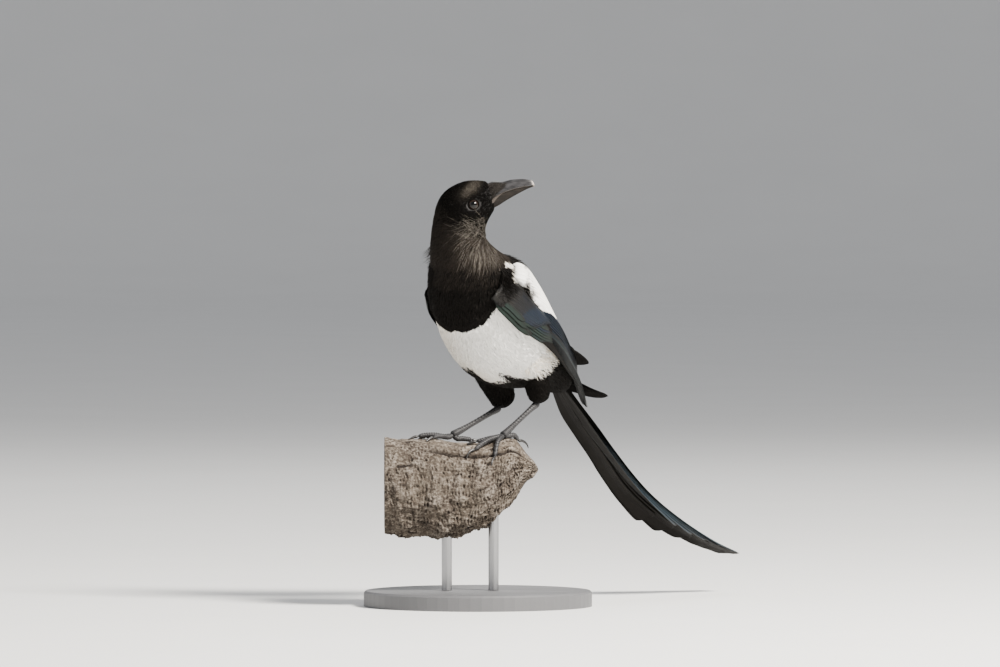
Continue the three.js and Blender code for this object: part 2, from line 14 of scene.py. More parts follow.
import bpy
import numpy as np
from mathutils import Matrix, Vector


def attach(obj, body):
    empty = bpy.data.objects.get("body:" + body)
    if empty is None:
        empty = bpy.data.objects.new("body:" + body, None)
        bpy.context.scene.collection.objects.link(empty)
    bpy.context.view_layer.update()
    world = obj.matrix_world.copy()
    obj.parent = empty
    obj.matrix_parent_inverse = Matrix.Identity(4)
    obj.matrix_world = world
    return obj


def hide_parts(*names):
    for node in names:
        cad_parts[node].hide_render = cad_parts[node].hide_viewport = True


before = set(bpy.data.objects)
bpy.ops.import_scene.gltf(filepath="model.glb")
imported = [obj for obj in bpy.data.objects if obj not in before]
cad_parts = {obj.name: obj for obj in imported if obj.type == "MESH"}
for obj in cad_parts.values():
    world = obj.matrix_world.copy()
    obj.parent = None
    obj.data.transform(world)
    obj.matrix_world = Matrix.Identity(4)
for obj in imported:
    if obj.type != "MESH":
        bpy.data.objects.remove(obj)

Array = np.ndarray
Color = tuple[float, float, float]
Rule = float | Callable[[Array], Array]  # one number, or a function of the share along a form
log = logging.getLogger("magpie")

MM = 0.001
SEED = 11
TURN = 2 * math.pi
PHOTO_WIDTH = 1000
PHOTO_HEIGHT = 667
BAKE_PATCH = 0.003  # the side of a tuft's own patch on the bake map
WHOLE_MAP = np.array([[0.02, 0.02, 0.98, 0.98]])  # the cell of a form that has the bake map to itself


class Slot(Enum):
    """The names of the material slots."""

    BLACK = "black_feather"
    WHITE = "white_feather"
    WING = "wing_feather"
    TAIL = "tail_feather"
    HORN = "horn"
    EYE = "eye"
    LEG = "scaly_leg"
    BARK = "bark"
    STAND = "stand"


class Side(Enum):
    """The bird's two sides, as the sign of x."""

    LEFT = 1
    RIGHT = -1

    @property
    def word(self) -> str:
        """The side's name as the nodes spell it."""
        return self.name.lower()


def smooth_step(value: Array, low: float, high: float) -> Array:
    """Rise from 0 at low to 1 at high with level ends: 3q^2 - 2q^3 of the clamped share q."""
    q = np.clip((value - low) / (high - low), 0.0, 1.0)
    return q * q * (3.0 - 2.0 * q)


def unit(vectors: Array) -> Array:
    """Each vector divided by its own length."""
    return vectors / np.maximum(np.linalg.norm(vectors, axis=-1, keepdims=True), 1e-12)


def waves(places: Array, size: float, seed: int, count: int = 7) -> Array:
    """A smooth rough field: the mean of sines along seeded directions, near one wave per size.

    Args:
        places: Points in millimetres, with the coordinates last.
        size: The usual length of a wave in millimetres.
        seed: Which field.
        count: How many sines are added.

    Returns:
        One number a point, mostly between -1 and 1.
    """
    rng = np.random.default_rng(seed)
    total = np.zeros(places.shape[:-1])
    for _ in range(count):
        direction = unit(rng.normal(size=3)) * (TURN / size) * rng.uniform(0.7, 1.4)
        total += np.sin(places @ direction + rng.uniform(0, TURN))
    return total / math.sqrt(count)


@dataclass(frozen=True)
class Loft:
    """A rounded form drawn out along sections, each row being
    x, y, z, turn, pitch, roll, half width, reach above, reach below, bow.

    Between rows every number runs on one Catmull-Rom curve. A section faces turn degrees to the left
    of -Y and pitch degrees up, and roll lowers its left side. The bow drops both its edges.
    """

    rows: Array
    caps: tuple[float, float] = (0.1, 0.1)

    def row_at(self, share: Array) -> Array:
        """The smooth row at each share of the length.

        Args:
            share: Shares from 0 to 1.

        Returns:
            Rows, with the ten numbers last.
        """
        last = len(self.rows) - 1
        place = np.clip(share, 0.0, 1.0) * last
        index = np.minimum(place.astype(int), last - 1)
        padded = np.vstack([2 * self.rows[0] - self.rows[1], self.rows, 2 * self.rows[-1] - self.rows[-2]])
        before, start, end, after = (padded[index + step] for step in range(4))
        t = (place - index)[..., None]
        bend = 3 * (start - end) + after - before
        lean = 2 * before - 5 * start + 4 * end - after
        return start + 0.5 * t * (end - before + t * (lean + t * bend))

    def axes_at(self, share: Array) -> tuple[Array, Array, Array, Array]:
        """The row and the unit vectors of the section at each share.

        Args:
            share: Shares from 0 to 1.

        Returns:
            The rows, the way the sections face, their side and their top.
        """
        row = self.row_at(share)
        turn, pitch, roll = (np.radians(row[..., k]) for k in (3, 4, 5))
        level = np.stack([np.cos(turn), np.sin(turn), np.zeros_like(turn)], -1)
        flat = np.cos(pitch)
        facing = np.stack([np.sin(turn) * flat, -np.cos(turn) * flat, np.sin(pitch)], -1)
        high = np.cross(facing, level)
        c, s = np.cos(roll)[..., None], np.sin(roll)[..., None]
        return row, facing, c * level - s * high, c * high + s * level

    def opening(self, share: Array) -> Array:
        """How far a section has opened: a quarter circle over each cap's share of the length."""
        start = np.minimum(share / self.caps[0], 1.0)
        end = np.minimum((1.0 - share) / self.caps[1], 1.0)
        return np.sqrt(np.maximum(1 - (1 - start) ** 2, 0)) * np.sqrt(np.maximum(1 - (1 - end) ** 2, 0))

    def surface(self, share: Array, angle: Array, grow: Array | float = 0.0) -> Array:
        """Points on the form: the half width by the cosine of the angle and the reach by its sine.

        Args:
            share: Shares from 0 to 1.
            angle: Angles about the section, 0 at its side and a quarter turn at its top.
            grow: Millimetres outside the form.

        Returns:
            Points, with the coordinates last.
        """
        row, _, side, top = self.axes_at(share)
        wide = self.opening(share)
        across, rise = np.cos(angle), np.sin(angle)
        reach = np.where(rise > 0, row[..., 7], row[..., 8]) + grow
        height = reach * rise * wide - row[..., 9] * across**2 * wide
        width = (row[..., 6] + grow) * across * wide
        return row[..., :3] + side * width[..., None] + top * height[..., None]

    def tangents(self, share: Array, angle: Array) -> tuple[Array, Array]:
        """The form's changes along its length and about it, a millimetre count each for a unit step."""
        step = 2e-3
        inside = np.clip(share, 3 * step, 1 - 3 * step)
        along = (self.surface(inside + step, angle) - self.surface(inside - step, angle)) / (2 * step)
        about = (self.surface(share, angle + step) - self.surface(share, angle - step)) / (2 * step)
        return along, about

    def normal(self, share: Array, angle: Array) -> Array:
        """The unit vectors that point out of the form: about crossed with along."""
        along, about = self.tangents(share, angle)
        return unit(np.cross(about, along))

    def plate(self, share: Array, across: Array, lift: Array, fold: float = 0.0) -> Array:
        """Points over the outer face of a plate.

        The height is the reach above by 1 - w^4, less the bow by w^2, less a fold that turns the
        edges down outside w = 0.5, where w is the place across from -1 to 1.

        Args:
            share: Shares from 0 to 1.
            across: Places across the plate.
            lift: Millimetres above the plate's own face.
            fold: How far the edge at w = 1 is folded down, as a share of the half width.

        Returns:
            Points, with the coordinates last.
        """
        row, _, side, top = self.axes_at(share)
        edge = np.clip((np.abs(across) - 0.5) / 0.5, 0.0, 1.3)
        bow = row[..., 9] * np.minimum(across**2, 1.6)
        height = row[..., 7] * (1 - np.minimum(across**4, 1.5)) - bow - fold * row[..., 6] * edge**2 + lift
        return row[..., :3] + side * (row[..., 6] * across)[..., None] + top * height[..., None]

    def plate_normal(self, share: Array, across: Array, fold: float = 0.0) -> Array:
        """The unit vectors out of a plate's outer face."""
        step = 4e-3
        zero = np.zeros_like(across)
        low, high = np.clip(share - step, 0, 1), np.clip(share + step, 0, 1)
        along = self.plate(high, across, zero, fold) - self.plate(low, across, zero, fold)
        beside = self.plate(share, across + step, zero, fold) - self.plate(share, across - step, zero, fold)
        normal = unit(np.cross(beside, along))
        top = self.axes_at(share)[3]
        return np.where((normal * top).sum(-1, keepdims=True) < 0, -normal, normal)


def rope(points: list[tuple[float, float, float, float]], caps: tuple[float, float] = (0.12, 0.12)) -> Loft:
    """A tube of changing radius through points of x, y, z and radius, each facing its neighbours.

    Args:
        points: The places and radii.
        caps: The share of the length over which each end rounds off.

    Returns:
        The form.
    """
    places = np.array(points, float)
    ahead = np.vstack([places[1:], places[-1:]])
    behind = np.vstack([places[:1], places[:-1]])
    along = unit(ahead[:, :3] - behind[:, :3])
    turn = np.degrees(np.unwrap(np.arctan2(along[:, 0], -along[:, 1])))
    pitch = np.degrees(np.arcsin(along[:, 2]))
    radius = places[:, 3]
    zero = np.zeros(len(places))
    rows = np.column_stack([places[:, :3], turn, pitch, zero, radius, radius, radius, zero])
    return Loft(rows, caps)


@dataclass
class MeshMaker:
    """Gathers closed tubes of rows by ring points and makes one piece of them."""

    name: str
    points: list[Array] = field(default_factory=list)
    quads: list[Array] = field(default_factory=list)
    tris: list[Array] = field(default_factory=list)
    quad_maps: dict[str, list[Array]] = field(default_factory=dict)
    tri_maps: dict[str, list[Array]] = field(default_factory=dict)
    quad_skins: list[Array] = field(default_factory=list)
    tri_skins: list[Array] = field(default_factory=list)
    values: dict[str, list[Array]] = field(default_factory=dict)
    count: int = 0
    flipped: bool = False  # whether the last tubes' faces had to be turned over

    def add_tubes(
        self,
        points: Array,
        cells: Array,
        across: Array | None = None,
        tips: Array | None = None,
        skins: Array | None = None,
        **values: Array,
    ) -> None:
        """Add tubes, each closed at both ends.

        Args:
            points: Tubes by rows by ring by three.
            cells: Each tube's own rectangle on the bake map, as low x, low y, high x, high y.
            across: A number for each ring point, the first coordinate of the map named Lie.
            tips: A last point for each tube, or nothing where the last ring is closed flat.
            skins: A material index for each ring step, or nothing for the first.
            values: Numbers that broadcast to tubes by rows by ring, kept as attributes.
        """
        many, rows, ring = points.shape[:3]
        across = np.linspace(0, 1, ring) if across is None else across
        skins = np.zeros(ring, int) if skins is None else skins
        steps = rows - 1 + (tips is not None)
        peak = rows * ring  # the index of a tube's tip
        per_tube = peak + (tips is not None)
        r, c = (grid.ravel() for grid in np.meshgrid(np.arange(rows - 1), np.arange(ring), indexing="ij"))
        corner = [(r, c), (r, c + 1), (r + 1, c + 1), (r + 1, c)]
        quads = np.stack([row * ring + col % ring for row, col in corner], -1)
        grid = np.stack([np.stack([col / ring, row / steps], -1) for row, col in corner], 1)
        lie = np.stack([np.stack([across[col % ring], row / (rows - 1)], -1) for row, col in corner], 1)
        k = np.arange(ring)
        last = peak - ring
        start = np.stack([np.zeros(ring - 2, int), k[2:], k[1:-1]], -1)
        if tips is None:
            end = last + np.stack([np.zeros(ring - 2, int), k[1:-1], k[2:]], -1)
            end_skin = skins[k[1:-1]]
        else:
            end = np.stack([last + k, last + (k + 1) % ring, np.full(ring, peak)], -1)
            end_skin = skins
        tris = np.vstack([start, end])
        tri_row = np.minimum(tris // ring, rows)
        tri_col = np.where(tris >= peak, 0.5 * ring, tris % ring)
        tri_grid = np.stack([tri_col / ring, tri_row / steps], -1)
        tri_lie = np.stack([np.where(tris >= peak, 0.5, across[tris % ring]), tri_row / (rows - 1)], -1)

        flat = points.reshape(many, peak, 3)
        if tips is not None:
            flat = np.concatenate([flat, tips[:, None]], 1)
        quads, tris = self._facing_out(flat, quads, tris)
        if self.flipped:
            grid, lie, tri_grid, tri_lie = grid[:, ::-1], lie[:, ::-1], tri_grid[:, ::-1], tri_lie[:, ::-1]
        base = self.count + np.arange(many)[:, None, None] * per_tube
        self.points.append(flat.reshape(-1, 3))
        self.quads.append((quads[None] + base).reshape(-1, 4))
        self.tris.append((tris[None] + base).reshape(-1, 3))
        low, size = cells[:, None, None, :2], cells[:, None, None, 2:] - cells[:, None, None, :2]
        for store, cell_spots, lie_spots in ((self.quad_maps, grid, lie), (self.tri_maps, tri_grid, tri_lie)):
            self._keep(store, "OFBake", (low + size * cell_spots[None]).reshape(-1, 2))
            self._keep(store, "Lie", np.tile(lie_spots, (many, 1, 1)).reshape(-1, 2))
        self.quad_skins.append(np.tile(skins[c], many))
        self.tri_skins.append(np.tile(np.concatenate([skins[k[1:-1]], end_skin]), many))
        for name, value in values.items():
            full = np.broadcast_to(value, (many, rows, ring)).reshape(many, peak)
            if tips is not None:
                full = np.concatenate([full, full[:, -1:]], 1)
            self._keep(self.values, name, full.ravel())
        self.count += many * per_tube

    def _facing_out(self, flat: Array, quads: Array, tris: Array) -> tuple[Array, Array]:
        """Turn every face over where the tubes' signed volume is negative."""
        origin = flat.mean(1, keepdims=True)
        fans = np.vstack([quads[:, [0, 1, 2]], quads[:, [0, 2, 3]], tris])
        a, b, c = (flat[:, fans[:, k]] - origin for k in range(3))
        self.flipped = float((a * np.cross(b, c)).sum()) < 0
        return (quads[:, ::-1], tris[:, ::-1]) if self.flipped else (quads, tris)

    @staticmethod
    def _keep(store: dict[str, list[Array]], name: str, value: Array) -> None:
        """Append a value to the list kept under a name."""
        store.setdefault(name, []).append(value)

    def make(self, materials: list[bpy.types.Material], smooth: bool = True) -> bpy.types.Object:
        """Make the piece, in metres, riding on the model's one body.

        Args:
            materials: The finishes, in the order of the skins' indices.
            smooth: Whether the faces are shaded smooth.

        Returns:
            The new object.
        """
        quads, tris = np.concatenate(self.quads), np.concatenate(self.tris)
        mesh = bpy.data.meshes.new(self.name)
        mesh.vertices.add(self.count)
        mesh.vertices.foreach_set("co", (np.concatenate(self.points) * MM).astype(np.float32).ravel())
        mesh.loops.add(quads.size + tris.size)
        mesh.loops.foreach_set("vertex_index", np.concatenate([quads.ravel(), tris.ravel()]).astype(np.int32))
        starts = np.concatenate([np.arange(len(quads)) * 4, quads.size + np.arange(len(tris)) * 3])
        mesh.polygons.add(len(starts))
        mesh.polygons.foreach_set("loop_start", starts.astype(np.int32))
        mesh.polygons.foreach_set("use_smooth", np.full(len(starts), smooth))
        skins = np.concatenate([*self.quad_skins, *self.tri_skins])
        mesh.polygons.foreach_set("material_index", skins.astype(np.int32))
        for name in self.quad_maps:
            layer = mesh.uv_layers.new(name=name)
            spots = np.concatenate([*self.quad_maps[name], *self.tri_maps[name]])
            layer.uv.foreach_set("vector", spots.astype(np.float32).ravel())
        for name, parts in self.values.items():
            attribute = mesh.attributes.new(name, "FLOAT", "POINT")
            attribute.data.foreach_set("value", np.concatenate(parts).astype(np.float32))
        mesh.update()
        mesh.validate()
        for material in materials:
            mesh.materials.append(material)
        piece = bpy.data.objects.new(self.name, mesh)
        bpy.context.scene.collection.objects.link(piece)
        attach(piece, "root")
        log.info("%s: %d triangles", self.name, 2 * len(quads) + len(tris))
        return piece


def grid_cells(count: int) -> Array:
    """Equal rectangles that fill the bake map, row by row, with a small gap between them.

    Args:
        count: How many rectangles are needed.

    Returns:
        One rectangle a row: low x, low y, high x, high y.
    """
    wide = math.ceil(math.sqrt(count))
    tall = math.ceil(count / wide)
    index = np.arange(count)
    size = 1 / np.array([wide, tall])
    corner = np.stack([index % wide, index // wide], -1) * size
    return np.hstack([corner + size * 0.04, corner + size * 0.96])


def share_grid(rows: int, ring: int, inset: float = 0.0005) -> tuple[Array, Array]:
    """Shares along a form and angles about it, as two grids of rows by ring."""
    angle = np.arange(ring) * TURN / ring
    return tuple(np.meshgrid(np.linspace(inset, 1 - inset, rows), angle, indexing="ij"))


def form_rings(form: Loft, rows: int, ring: int, grow: float = 0.0, swell: Callable | None = None) -> Array:
    """The rings of a whole form, closer together near its two ends.

    Args:
        form: The form.
        rows: How many rings.
        ring: How many points in each.
        grow: Millimetres outside the form.
        swell: Extra millimetres at each share and angle.

    Returns:
        One tube of rows by ring by three.
    """
    even = np.linspace(0, 1, rows)
    share = np.clip(even - 0.1 * np.sin(TURN * even), 0.0005, 0.9995)
    share, angle = np.meshgrid(share, np.arange(ring) * TURN / ring, indexing="ij")
    extra = grow if swell is None else grow + swell(share, angle)
    return form.surface(share, angle, extra)[None]


class Graph:
    """Adds nodes to a tree and joins them in few words."""

    def __init__(self, tree: bpy.types.NodeTree) -> None:
        """Start on an empty tree."""
        self.tree = tree
        tree.nodes.clear()

    def give(self, node: bpy.types.Node, inputs: dict) -> None:
        """Fill a node's inputs: a socket is linked, and a colour of three numbers is made opaque."""
        for key, value in inputs.items():
            socket = node.inputs[key]
            if isinstance(value, bpy.types.NodeSocket):
                self.tree.links.new(value, socket)
            else:
                socket.default_value = (*value, 1) if socket.type == "RGBA" and len(value) == 3 else value

    def add(self, kind: str, inputs: dict | None = None, **settings: object) -> bpy.types.Node:
        """Add a node.

        Args:
            kind: The node's type without its ShaderNode prefix.
            inputs: A value or an output socket for each named or numbered input.
            settings: Values for the node's own properties.

        Returns:
            The node.
        """
        node = self.tree.nodes.new(kind if kind.startswith("Node") else "ShaderNode" + kind)
        for key, value in settings.items():
            setattr(node, key, value)
        self.give(node, inputs or {})
        return node

    def attribute(self, name: str) -> bpy.types.NodeSocket:
        """A number that the mesh carries."""
        return self.add("Attribute", attribute_name=name).outputs["Fac"]

    def lie(self) -> bpy.types.bpy_prop_collection:
        """The places across and along a tuft or vane, from the map named Lie."""
        return self.add("SeparateXYZ", {0: self.add("UVMap", uv_map="Lie").outputs[0]}).outputs

    def math(self, operation: str, *terms: object) -> bpy.types.NodeSocket:
        """The result of a Math node on up to three terms."""
        return self.add("Math", dict(enumerate(terms)), operation=operation).outputs[0]

    def times(self, first: object, second: object) -> bpy.types.NodeSocket:
        """The product of two values."""
        return self.math("MULTIPLY", first, second)

    def mix(self, share: object, first: object, second: object) -> bpy.types.NodeSocket:
        """A colour that goes from the first to the second as the share rises from 0 to 1."""
        return self.add("Mix", {0: share, 6: first, 7: second}, data_type="RGBA").outputs[2]

    def span(
        self, value: object, low: float, high: float, to_low: float = 0, to_high: float = 1
    ) -> bpy.types.NodeSocket:
        """A clamped smooth step of a value from one range to another."""
        inputs = {0: value, 1: low, 2: high, 3: to_low, 4: to_high}
        return self.add("MapRange", inputs, interpolation_type="SMOOTHSTEP").outputs[0]

    def noise(self, scale: float, detail: float = 3, stretch: tuple = (1, 1, 1)) -> bpy.types.NodeSocket:
        """Noise on Object coordinates, in metres, drawn out along an axis by a small stretch."""
        place = self.add("TexCoord").outputs["Object"]
        place = self.add("Mapping", {"Vector": place, "Scale": stretch}).outputs[0]
        return self.add("TexNoise", {"Vector": place, "Scale": scale, "Detail": detail}).outputs[0]


@dataclass
class NodeGroup:
    """A shader node group with named inputs and outputs, made once."""

    name: str
    inputs: dict[str, tuple[str, object]]
    outputs: dict[str, str]
    wire: Callable

    def tree(self) -> bpy.types.NodeTree:
        """The group's tree, made the first time that it is asked for."""
        found = bpy.data.node_groups.get(self.name)
        if found:
            return found
        tree = bpy.data.node_groups.new(self.name, "ShaderNodeTree")
        for name, (kind, value) in self.inputs.items():
            socket = tree.interface.new_socket(name, in_out="INPUT", socket_type="NodeSocket" + kind)
            socket.default_value = value
        for name, kind in self.outputs.items():
            tree.interface.new_socket(name, in_out="OUTPUT", socket_type="NodeSocket" + kind)
        graph = Graph(tree)
        given = graph.add("NodeGroupInput").outputs
        graph.add("NodeGroupOutput", self.wire(graph, given))
        return tree

    def place(self, graph: Graph, **values: object) -> bpy.types.bpy_prop_collection:
        """Place the group in a material.

        Args:
            graph: The material's graph.
            values: Inputs by name, with an underscore for a space.

        Returns:
            The group node's outputs.
        """
        node = graph.add("Group", node_tree=self.tree())
        graph.give(node, {key.replace("_", " "): value for key, value in values.items()})
        return node.outputs


def _wire_tuft(graph: Graph, given: object) -> dict:
    """A tuft's colour: dark to light by its own tone, with slow patches and a paler or darker tip."""
    fine = graph.noise(900, 2)
    share = graph.math("MULTIPLY_ADD", graph.noise(90, 3), given["Patch"], graph.attribute("tone"))
    share = graph.math("MULTIPLY_ADD", graph.math("SUBTRACT", fine, 0.5), 0.5, share)
    tip = graph.times(graph.math("POWER", graph.lie()[1], 2.0), given["Tip"])
    share = graph.math("ADD", share, tip)
    return {"Color": graph.mix(graph.span(share, 0.0, 1.6), given["Dark"], given["Light"]), "Height": fine}


def _wire_vane(graph: Graph, given: object) -> dict:
    """A vane's colour: barbs slanting from the shaft, gloss by attribute and hue, painted shade at its edges
    where the vanes overlap, and the shaft.
    """
    across, along = graph.lie()[:2]
    hue = graph.attribute("hue")
    away = graph.math("ABSOLUTE", graph.math("SUBTRACT", across, 0.5))
    slant = graph.math("SUBTRACT", along, graph.times(away, given["Slant"]))
    phase = graph.times(graph.math("MULTIPLY_ADD", graph.noise(260, 2), 0.012, slant), given["Barbs"])
    barbs = graph.math("MULTIPLY_ADD", graph.math("SINE", phase), 0.5, 0.5)
    green = graph.mix(graph.span(hue, 0.0, 0.5), given["Hue A"], given["Hue B"])
    shine = graph.mix(graph.span(hue, 0.5, 1.0), green, given["Hue C"])
    strength = graph.times(graph.attribute("gloss"), graph.span(graph.noise(120, 3), 0.2, 0.75, 0.55, 1.0))
    strength = graph.times(strength, graph.math("MULTIPLY_ADD", barbs, 0.35, 0.65))
    paler = graph.math("MULTIPLY_ADD", barbs, 0.3, graph.times(graph.attribute("tone"), 0.7))
    color = graph.mix(strength, graph.mix(paler, given["Dark"], given["Light"]), shine)
    # painted shade: the colour darkens to the dark tone towards the vane's two edges, where it meets its
    # neighbours
    color = graph.mix(graph.times(graph.span(away, 0.4, 0.49), given["Edge"]), color, given["Dark"])
    shaft = graph.span(away, 0.012, 0.03, 1.0, 0.0)
    return {
        "Color": graph.mix(graph.times(shaft, 0.8), color, given["Shaft"]),
        "Roughness": graph.math("MULTIPLY_ADD", barbs, 0.12, 0.36),
        "Height": graph.math("MULTIPLY_ADD", shaft, 1.5, barbs),
        "Gloss": strength,
    }


TUFT_TONE = NodeGroup(
    "tuft tone",
    {
        "Dark": ("Color", (0.01, 0.01, 0.01, 1)),
        "Light": ("Color", (0.04, 0.04, 0.04, 1)),
        "Patch": ("Float", 0.4),
        "Tip": ("Float", 0.3),
    },
    {"Color": "Color", "Height": "Float"},
    _wire_tuft,
)

VANE_MARKS = NodeGroup(
    "vane marks",
    {
        "Dark": ("Color", (0.01, 0.01, 0.01, 1)),
        "Light": ("Color", (0.03, 0.03, 0.03, 1)),
        "Hue A": ("Color", (0.02, 0.06, 0.05, 1)),
        "Hue B": ("Color", (0.02, 0.05, 0.08, 1)),
        "Hue C": ("Color", (0.05, 0.03, 0.07, 1)),
        "Shaft": ("Color", (0.01, 0.01, 0.01, 1)),
        "Barbs": ("Float", 260.0),
        "Slant": ("Float", 0.5),
        # painted shade at the vanes' edges
        "Edge": ("Float", 0.75),
    },
    {"Color": "Color", "Roughness": "Float", "Height": "Float", "Gloss": "Float"},
    _wire_vane,
)


def new_material(name: str) -> tuple[bpy.types.Material, Graph, bpy.types.Node]:
    """An empty material with its Principled shader joined to the output.

    Args:
        name: The finish's name.

    Returns:
        The material, its graph and the shader.
    """
    material = bpy.data.materials.new(name)
    material.use_nodes = True
    graph = Graph(material.node_tree)
    shader = graph.add("BsdfPrincipled")
    graph.add("OutputMaterial", {0: shader.outputs[0]})
    return material, graph, shader


def paint(
    graph: Graph, shader: bpy.types.Node, color: object, roughness: object, specular: float = 0.5
) -> None:
    """Give the shader its colour, its roughness and its specular level."""
    graph.give(shader, {"Base Color": color, "Roughness": roughness, "Specular IOR Level": specular})


def bump(graph: Graph, shader: bpy.types.Node, height: object, depth: float, strength: float = 1.0) -> None:
    """Join a height to the shader's normal through a Bump node of a depth in metres."""
    node = graph.add("Bump", {"Height": height, "Distance": depth, "Strength": strength})
    graph.give(shader, {"Normal": node.outputs[0]})


def scaled(color: Color, factor: float) -> Color:
    """A colour made lighter or darker by a factor."""
    return tuple(value * factor for value in color)


@dataclass(frozen=True)
class TuftFinish:
    """Soft contour feathers of one ground colour."""

    name: str
    dark: Color
    light: Color
    roughness: float = 0.75
    patch: float = 0.4
    tip: float = 0.3
    specular: float = 0.15

    def build(self) -> bpy.types.Material:
        """Make the material."""
        material, graph, shader = new_material(self.name)
        tuft = TUFT_TONE.place(graph, Dark=self.dark, Light=self.light, Patch=self.patch, Tip=self.tip)
        paint(graph, shader, tuft["Color"], self.roughness, self.specular)
        bump(graph, shader, tuft["Height"], 0.0002, 0.5)
        return material


@dataclass(frozen=True)
class VaneFinish:
    """Stiff vanes with barbs, a shaft and a metallic gloss of three hues, with painted shade along their
    edges.
    """

    name: str
    dark: Color
    light: Color
    hues: tuple[Color, ...]
    shaft: Color = (0.012, 0.011, 0.011)
    barbs: float = 300.0
    slant: float = 0.4
    metal: float = 0.55
    roughness_shift: float = 0.0
    edge: float = 0.75
    # edge: how much painted shade darkens the vane's edges
    specular: float = 0.22

    def build(self) -> bpy.types.Material:
        """Make the material."""
        material, graph, shader = new_material(self.name)
        hues = dict(zip(("Hue_A", "Hue_B", "Hue_C"), self.hues, strict=True))
        vane = VANE_MARKS.place(
            graph,
            Dark=self.dark,
            Light=self.light,
            Shaft=self.shaft,
            Barbs=self.barbs,
            Slant=self.slant,
            Edge=self.edge,
            **hues,
        )
        rough = graph.math("ADD", vane["Roughness"], self.roughness_shift)
        paint(graph, shader, vane["Color"], rough, self.specular)
        graph.give(shader, {"Metallic": graph.times(vane["Gloss"], self.metal)})
        bump(graph, shader, vane["Height"], 0.00012, 0.6)
        return material


@dataclass(frozen=True)
class HornFinish:
    """Smooth dark horn with growth lines along it and a paler worn tip."""

    name: str
    dark: Color
    worn: Color
    roughness: float = 0.3
    worn_from: float = 0.9
    specular: float = 0.5

    def build(self) -> bpy.types.Material:
        """Make the material."""
        material, graph, shader = new_material(self.name)
        scratch = graph.noise(420, 4, (0.35, 0.35, 1))
        wear = graph.span(graph.math("MULTIPLY_ADD", scratch, 0.08, graph.lie()[1]), self.worn_from, 1.04)
        mottled = graph.mix(graph.span(scratch, 0.35, 0.75), self.dark, scaled(self.dark, 2.2))
        rough = graph.span(scratch, 0.3, 0.8, self.roughness, self.roughness + 0.25)
        paint(graph, shader, graph.mix(wear, mottled, self.worn), rough, self.specular)
        bump(graph, shader, scratch, 0.0002, 0.5)
        return material


@dataclass(frozen=True)
class ScuteFinish:
    """Horny plates of the legs and toes, dull in their grooves."""

    name: str
    plate: Color
    groove: Color
    specular: float = 0.22

    def build(self) -> bpy.types.Material:
        """Make the material."""
        material, graph, shader = new_material(self.name)
        dust = graph.noise(600, 4)
        plate = graph.mix(graph.span(dust, 0.35, 0.7), scaled(self.plate, 0.6), self.plate)
        color = graph.mix(graph.attribute("groove"), plate, self.groove)
        paint(graph, shader, color, graph.span(dust, 0.3, 0.7, 0.35, 0.6), self.specular)
        bump(graph, shader, graph.noise(1500, 2), 0.00015, 0.4)
        return material


@dataclass(frozen=True)
class EyeFinish:
    """A wet eye: a dark brown iris about a black pupil, by the distance from the pupil's axis."""

    name: str = "eye gloss"

    def build(self) -> bpy.types.Material:
        """Make the material."""
        material, graph, shader = new_material(self.name)
        away = graph.attribute("away")
        iris = graph.mix(graph.noise(2500, 2), (0.003, 0.002, 0.0015), (0.014, 0.007, 0.004))
        color = graph.mix(graph.span(away, 0.48, 0.54), (0.001, 0.001, 0.001), iris)
        color = graph.mix(graph.span(away, 0.82, 0.9), color, (0.004, 0.003, 0.003))
        paint(graph, shader, color, 0.04, 0.3)
        return material


@dataclass(frozen=True)
class BareSkinFinish:
    """Thin dark skin, finely wrinkled, with a painted reflection in the rim colour where the attribute pale
    is set.
    """

    name: str
    color: Color
    fold: Color
    # rim: the colour of the painted reflection
    rim: Color = (0.11, 0.1, 0.09)
    specular: float = 0.2

    def build(self) -> bpy.types.Material:
        """Make the material."""
        material, graph, shader = new_material(self.name)
        folds = graph.noise(1400, 4)
        # painted reflection: the rim colour where the pale attribute is set, on the lower lids
        skin = graph.mix(graph.attribute("pale"), graph.mix(folds, self.fold, self.color), self.rim)
        paint(graph, shader, skin, 0.6, self.specular)
        bump(graph, shader, folds, 0.0003, 0.8)
        return material


@dataclass(frozen=True)
class UnderdownFinish:
    """What shows between the feathers: the skin's own down, with the coat's markings."""

    name: str
    black: Color
    white: Color

    def build(self) -> bpy.types.Material:
        """Make the material."""
        material, graph, shader = new_material(self.name)
        down = graph.noise(1200, 4)
        edge = graph.span(graph.math("MULTIPLY_ADD", down, 0.3, graph.attribute("white")), 0.5, 0.8)
        paint(graph, shader, graph.mix(edge, self.black, self.white), 0.9)
        bump(graph, shader, down, 0.0004, 0.8)
        return material


@dataclass(frozen=True)
class BarkFinish:
    """Weathered grey-brown wood and bark, dark in the cracks and bleached on the ridges."""

    name: str = "weathered bark"

    def build(self) -> bpy.types.Material:
        """Make the material."""
        material, graph, shader = new_material(self.name)
        grain = graph.noise(520, 6, (0.75, 0.75, 1.2))
        speck = graph.noise(1600, 3)
        patches = graph.span(graph.noise(45, 5), 0.35, 0.65)
        brown = graph.mix(patches, (0.036, 0.027, 0.021), (0.082, 0.064, 0.049))
        wood = graph.mix(graph.span(grain, 0.42, 0.66), brown, (0.15, 0.125, 0.1))
        bleached = graph.times(graph.attribute("ridge"), graph.span(grain, 0.3, 0.6))
        pale = graph.mix(bleached, wood, (0.26, 0.225, 0.19))
        dark = graph.mix(graph.attribute("crack"), pale, (0.012, 0.008, 0.006))
        dots = graph.mix(graph.span(speck, 0.62, 0.72), dark, (0.03, 0.022, 0.016))
        sawn = graph.mix(graph.span(grain, 0.3, 0.7), (0.36, 0.25, 0.15), (0.5, 0.37, 0.24))
        sawn = graph.mix(graph.times(graph.attribute("rings"), 0.55), sawn, (0.2, 0.125, 0.07))
        paint(graph, shader, graph.mix(graph.attribute("cut"), dots, sawn), 0.9, 0.25)
        bump(graph, shader, graph.math("MULTIPLY_ADD", speck, 0.4, grain), 0.0013)
        return material


